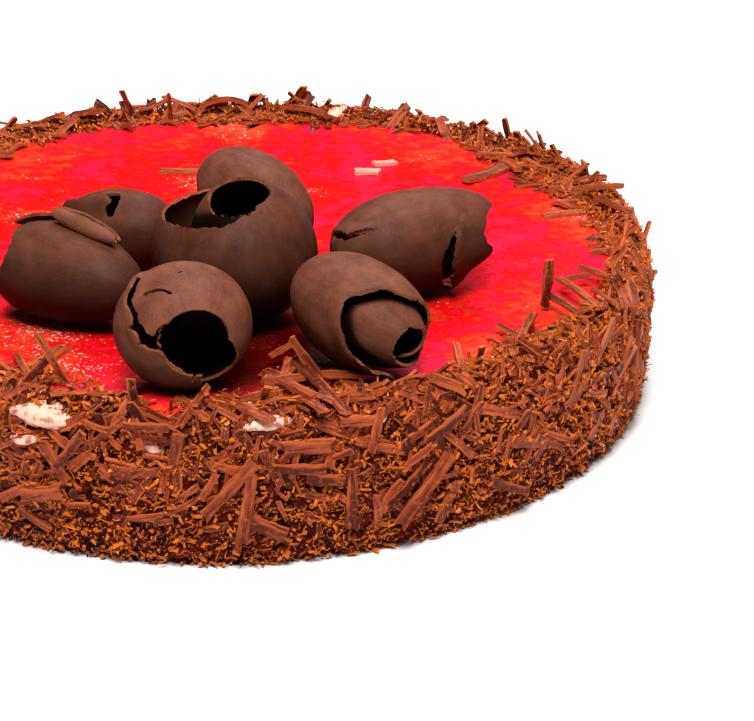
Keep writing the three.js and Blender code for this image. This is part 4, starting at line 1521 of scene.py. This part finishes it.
def lay_floor():
    """Lays the pale floor: matt white paper, which gives soft shadows and no shine."""
    half = 4.0
    corners = [(-half, -half, 0), (half, -half, 0), (half, half, 0), (-half, half, 0)]
    floor = new_object("floor", new_mesh("floor", corners, [(0, 1, 2, 3)]))
    material, tree = new_material("White paper backdrop")
    shader = add(tree, "ShaderNodeBsdfPrincipled", {
        "Base Color": linear("#f6f5f4"), "Roughness": 0.9, "Specular IOR Level": 0.1})
    add(tree, "ShaderNodeOutputMaterial", {"Surface": shader})
    floor.data.materials.append(material)


def hang_lamps(scene):
    """Hangs the soft lamps in a faint even light."""
    world = bpy.data.worlds.new("Studio")
    world.use_nodes = True
    background = world.node_tree.nodes["Background"]
    background.inputs["Color"].default_value = (1, 1, 1, 1)
    background.inputs["Strength"].default_value = 0.04
    scene.world = world
    for name, place, size, power in LAMPS:
        light = bpy.data.lights.new(name, "AREA")
        light.size = size
        light.energy = power
        aim_at(new_object(name, light), Vector(place), LAMPS_AIM)


def set_camera(scene):
    """Sets the camera low in front of the cake."""
    camera = bpy.data.cameras.new("camera")
    camera.sensor_width = SENSOR_WIDTH
    camera.sensor_fit = "HORIZONTAL"
    camera.lens = SENSOR_WIDTH * FOCAL_LENGTH / PICTURE_WIDTH
    camera.clip_start = 0.01
    scene.camera = new_object("camera", camera)
    aim_at(scene.camera, CAMERA_AT, CAMERA_AIM)
    scene.view_settings.view_transform = "Standard"


class CAKE_OT_stage(bpy.types.Operator):
    """Set the floor, the lights and the camera"""

    bl_idname = "cake.stage"
    bl_label = "Set the stage"

    def execute(self, context):
        lay_floor()
        hang_lamps(context.scene)
        set_camera(context.scene)
        return {"FINISHED"}


class CAKE_PT_panel(bpy.types.Panel):
    """Sizes, colours and steps of the cake"""

    bl_idname = "CAKE_PT_panel"
    bl_label = "Chocolate strawberry cake"
    bl_space_type = "VIEW_3D"
    bl_region_type = "UI"
    bl_category = "Cake"

    def draw(self, context):
        for group in (context.scene.cake_sizes, context.scene.cake_counts, context.scene.cake_colours):
            box = self.layout.box()
            for name in group.__annotations__:
                box.prop(group, name)
        for step in STEPS:
            self.layout.operator(step.bl_idname)


STEPS = (CAKE_OT_core, CAKE_OT_coat, CAKE_OT_rim_strips, CAKE_OT_fallen_strips, CAKE_OT_cream, CAKE_OT_jelly,
         CAKE_OT_curls, CAKE_OT_stage)
CLASSES = (CakeSizes, CoatCounts, CakeColours, *STEPS, CAKE_PT_panel)


def register():
    """Registers the classes and hangs the property groups on the scene."""
    for cls in CLASSES:
        bpy.utils.register_class(cls)
    bpy.types.Scene.cake_sizes = PointerProperty(type=CakeSizes)
    bpy.types.Scene.cake_counts = PointerProperty(type=CoatCounts)
    bpy.types.Scene.cake_colours = PointerProperty(type=CakeColours)


def unregister():
    """Takes the property groups off the scene and unregisters the classes."""
    del bpy.types.Scene.cake_sizes, bpy.types.Scene.cake_counts, bpy.types.Scene.cake_colours
    for cls in reversed(CLASSES):
        bpy.utils.unregister_class(cls)


def main():
    """Makes the whole cake on its stage."""
    register()
    bpy.ops.cake.core()
    bpy.ops.cake.coat()
    bpy.ops.cake.rim_strips()
    bpy.ops.cake.fallen_strips()
    bpy.ops.cake.cream()
    bpy.ops.cake.jelly()
    bpy.ops.cake.curls()
    bpy.ops.cake.stage()


if __name__ == "__main__":
    main()
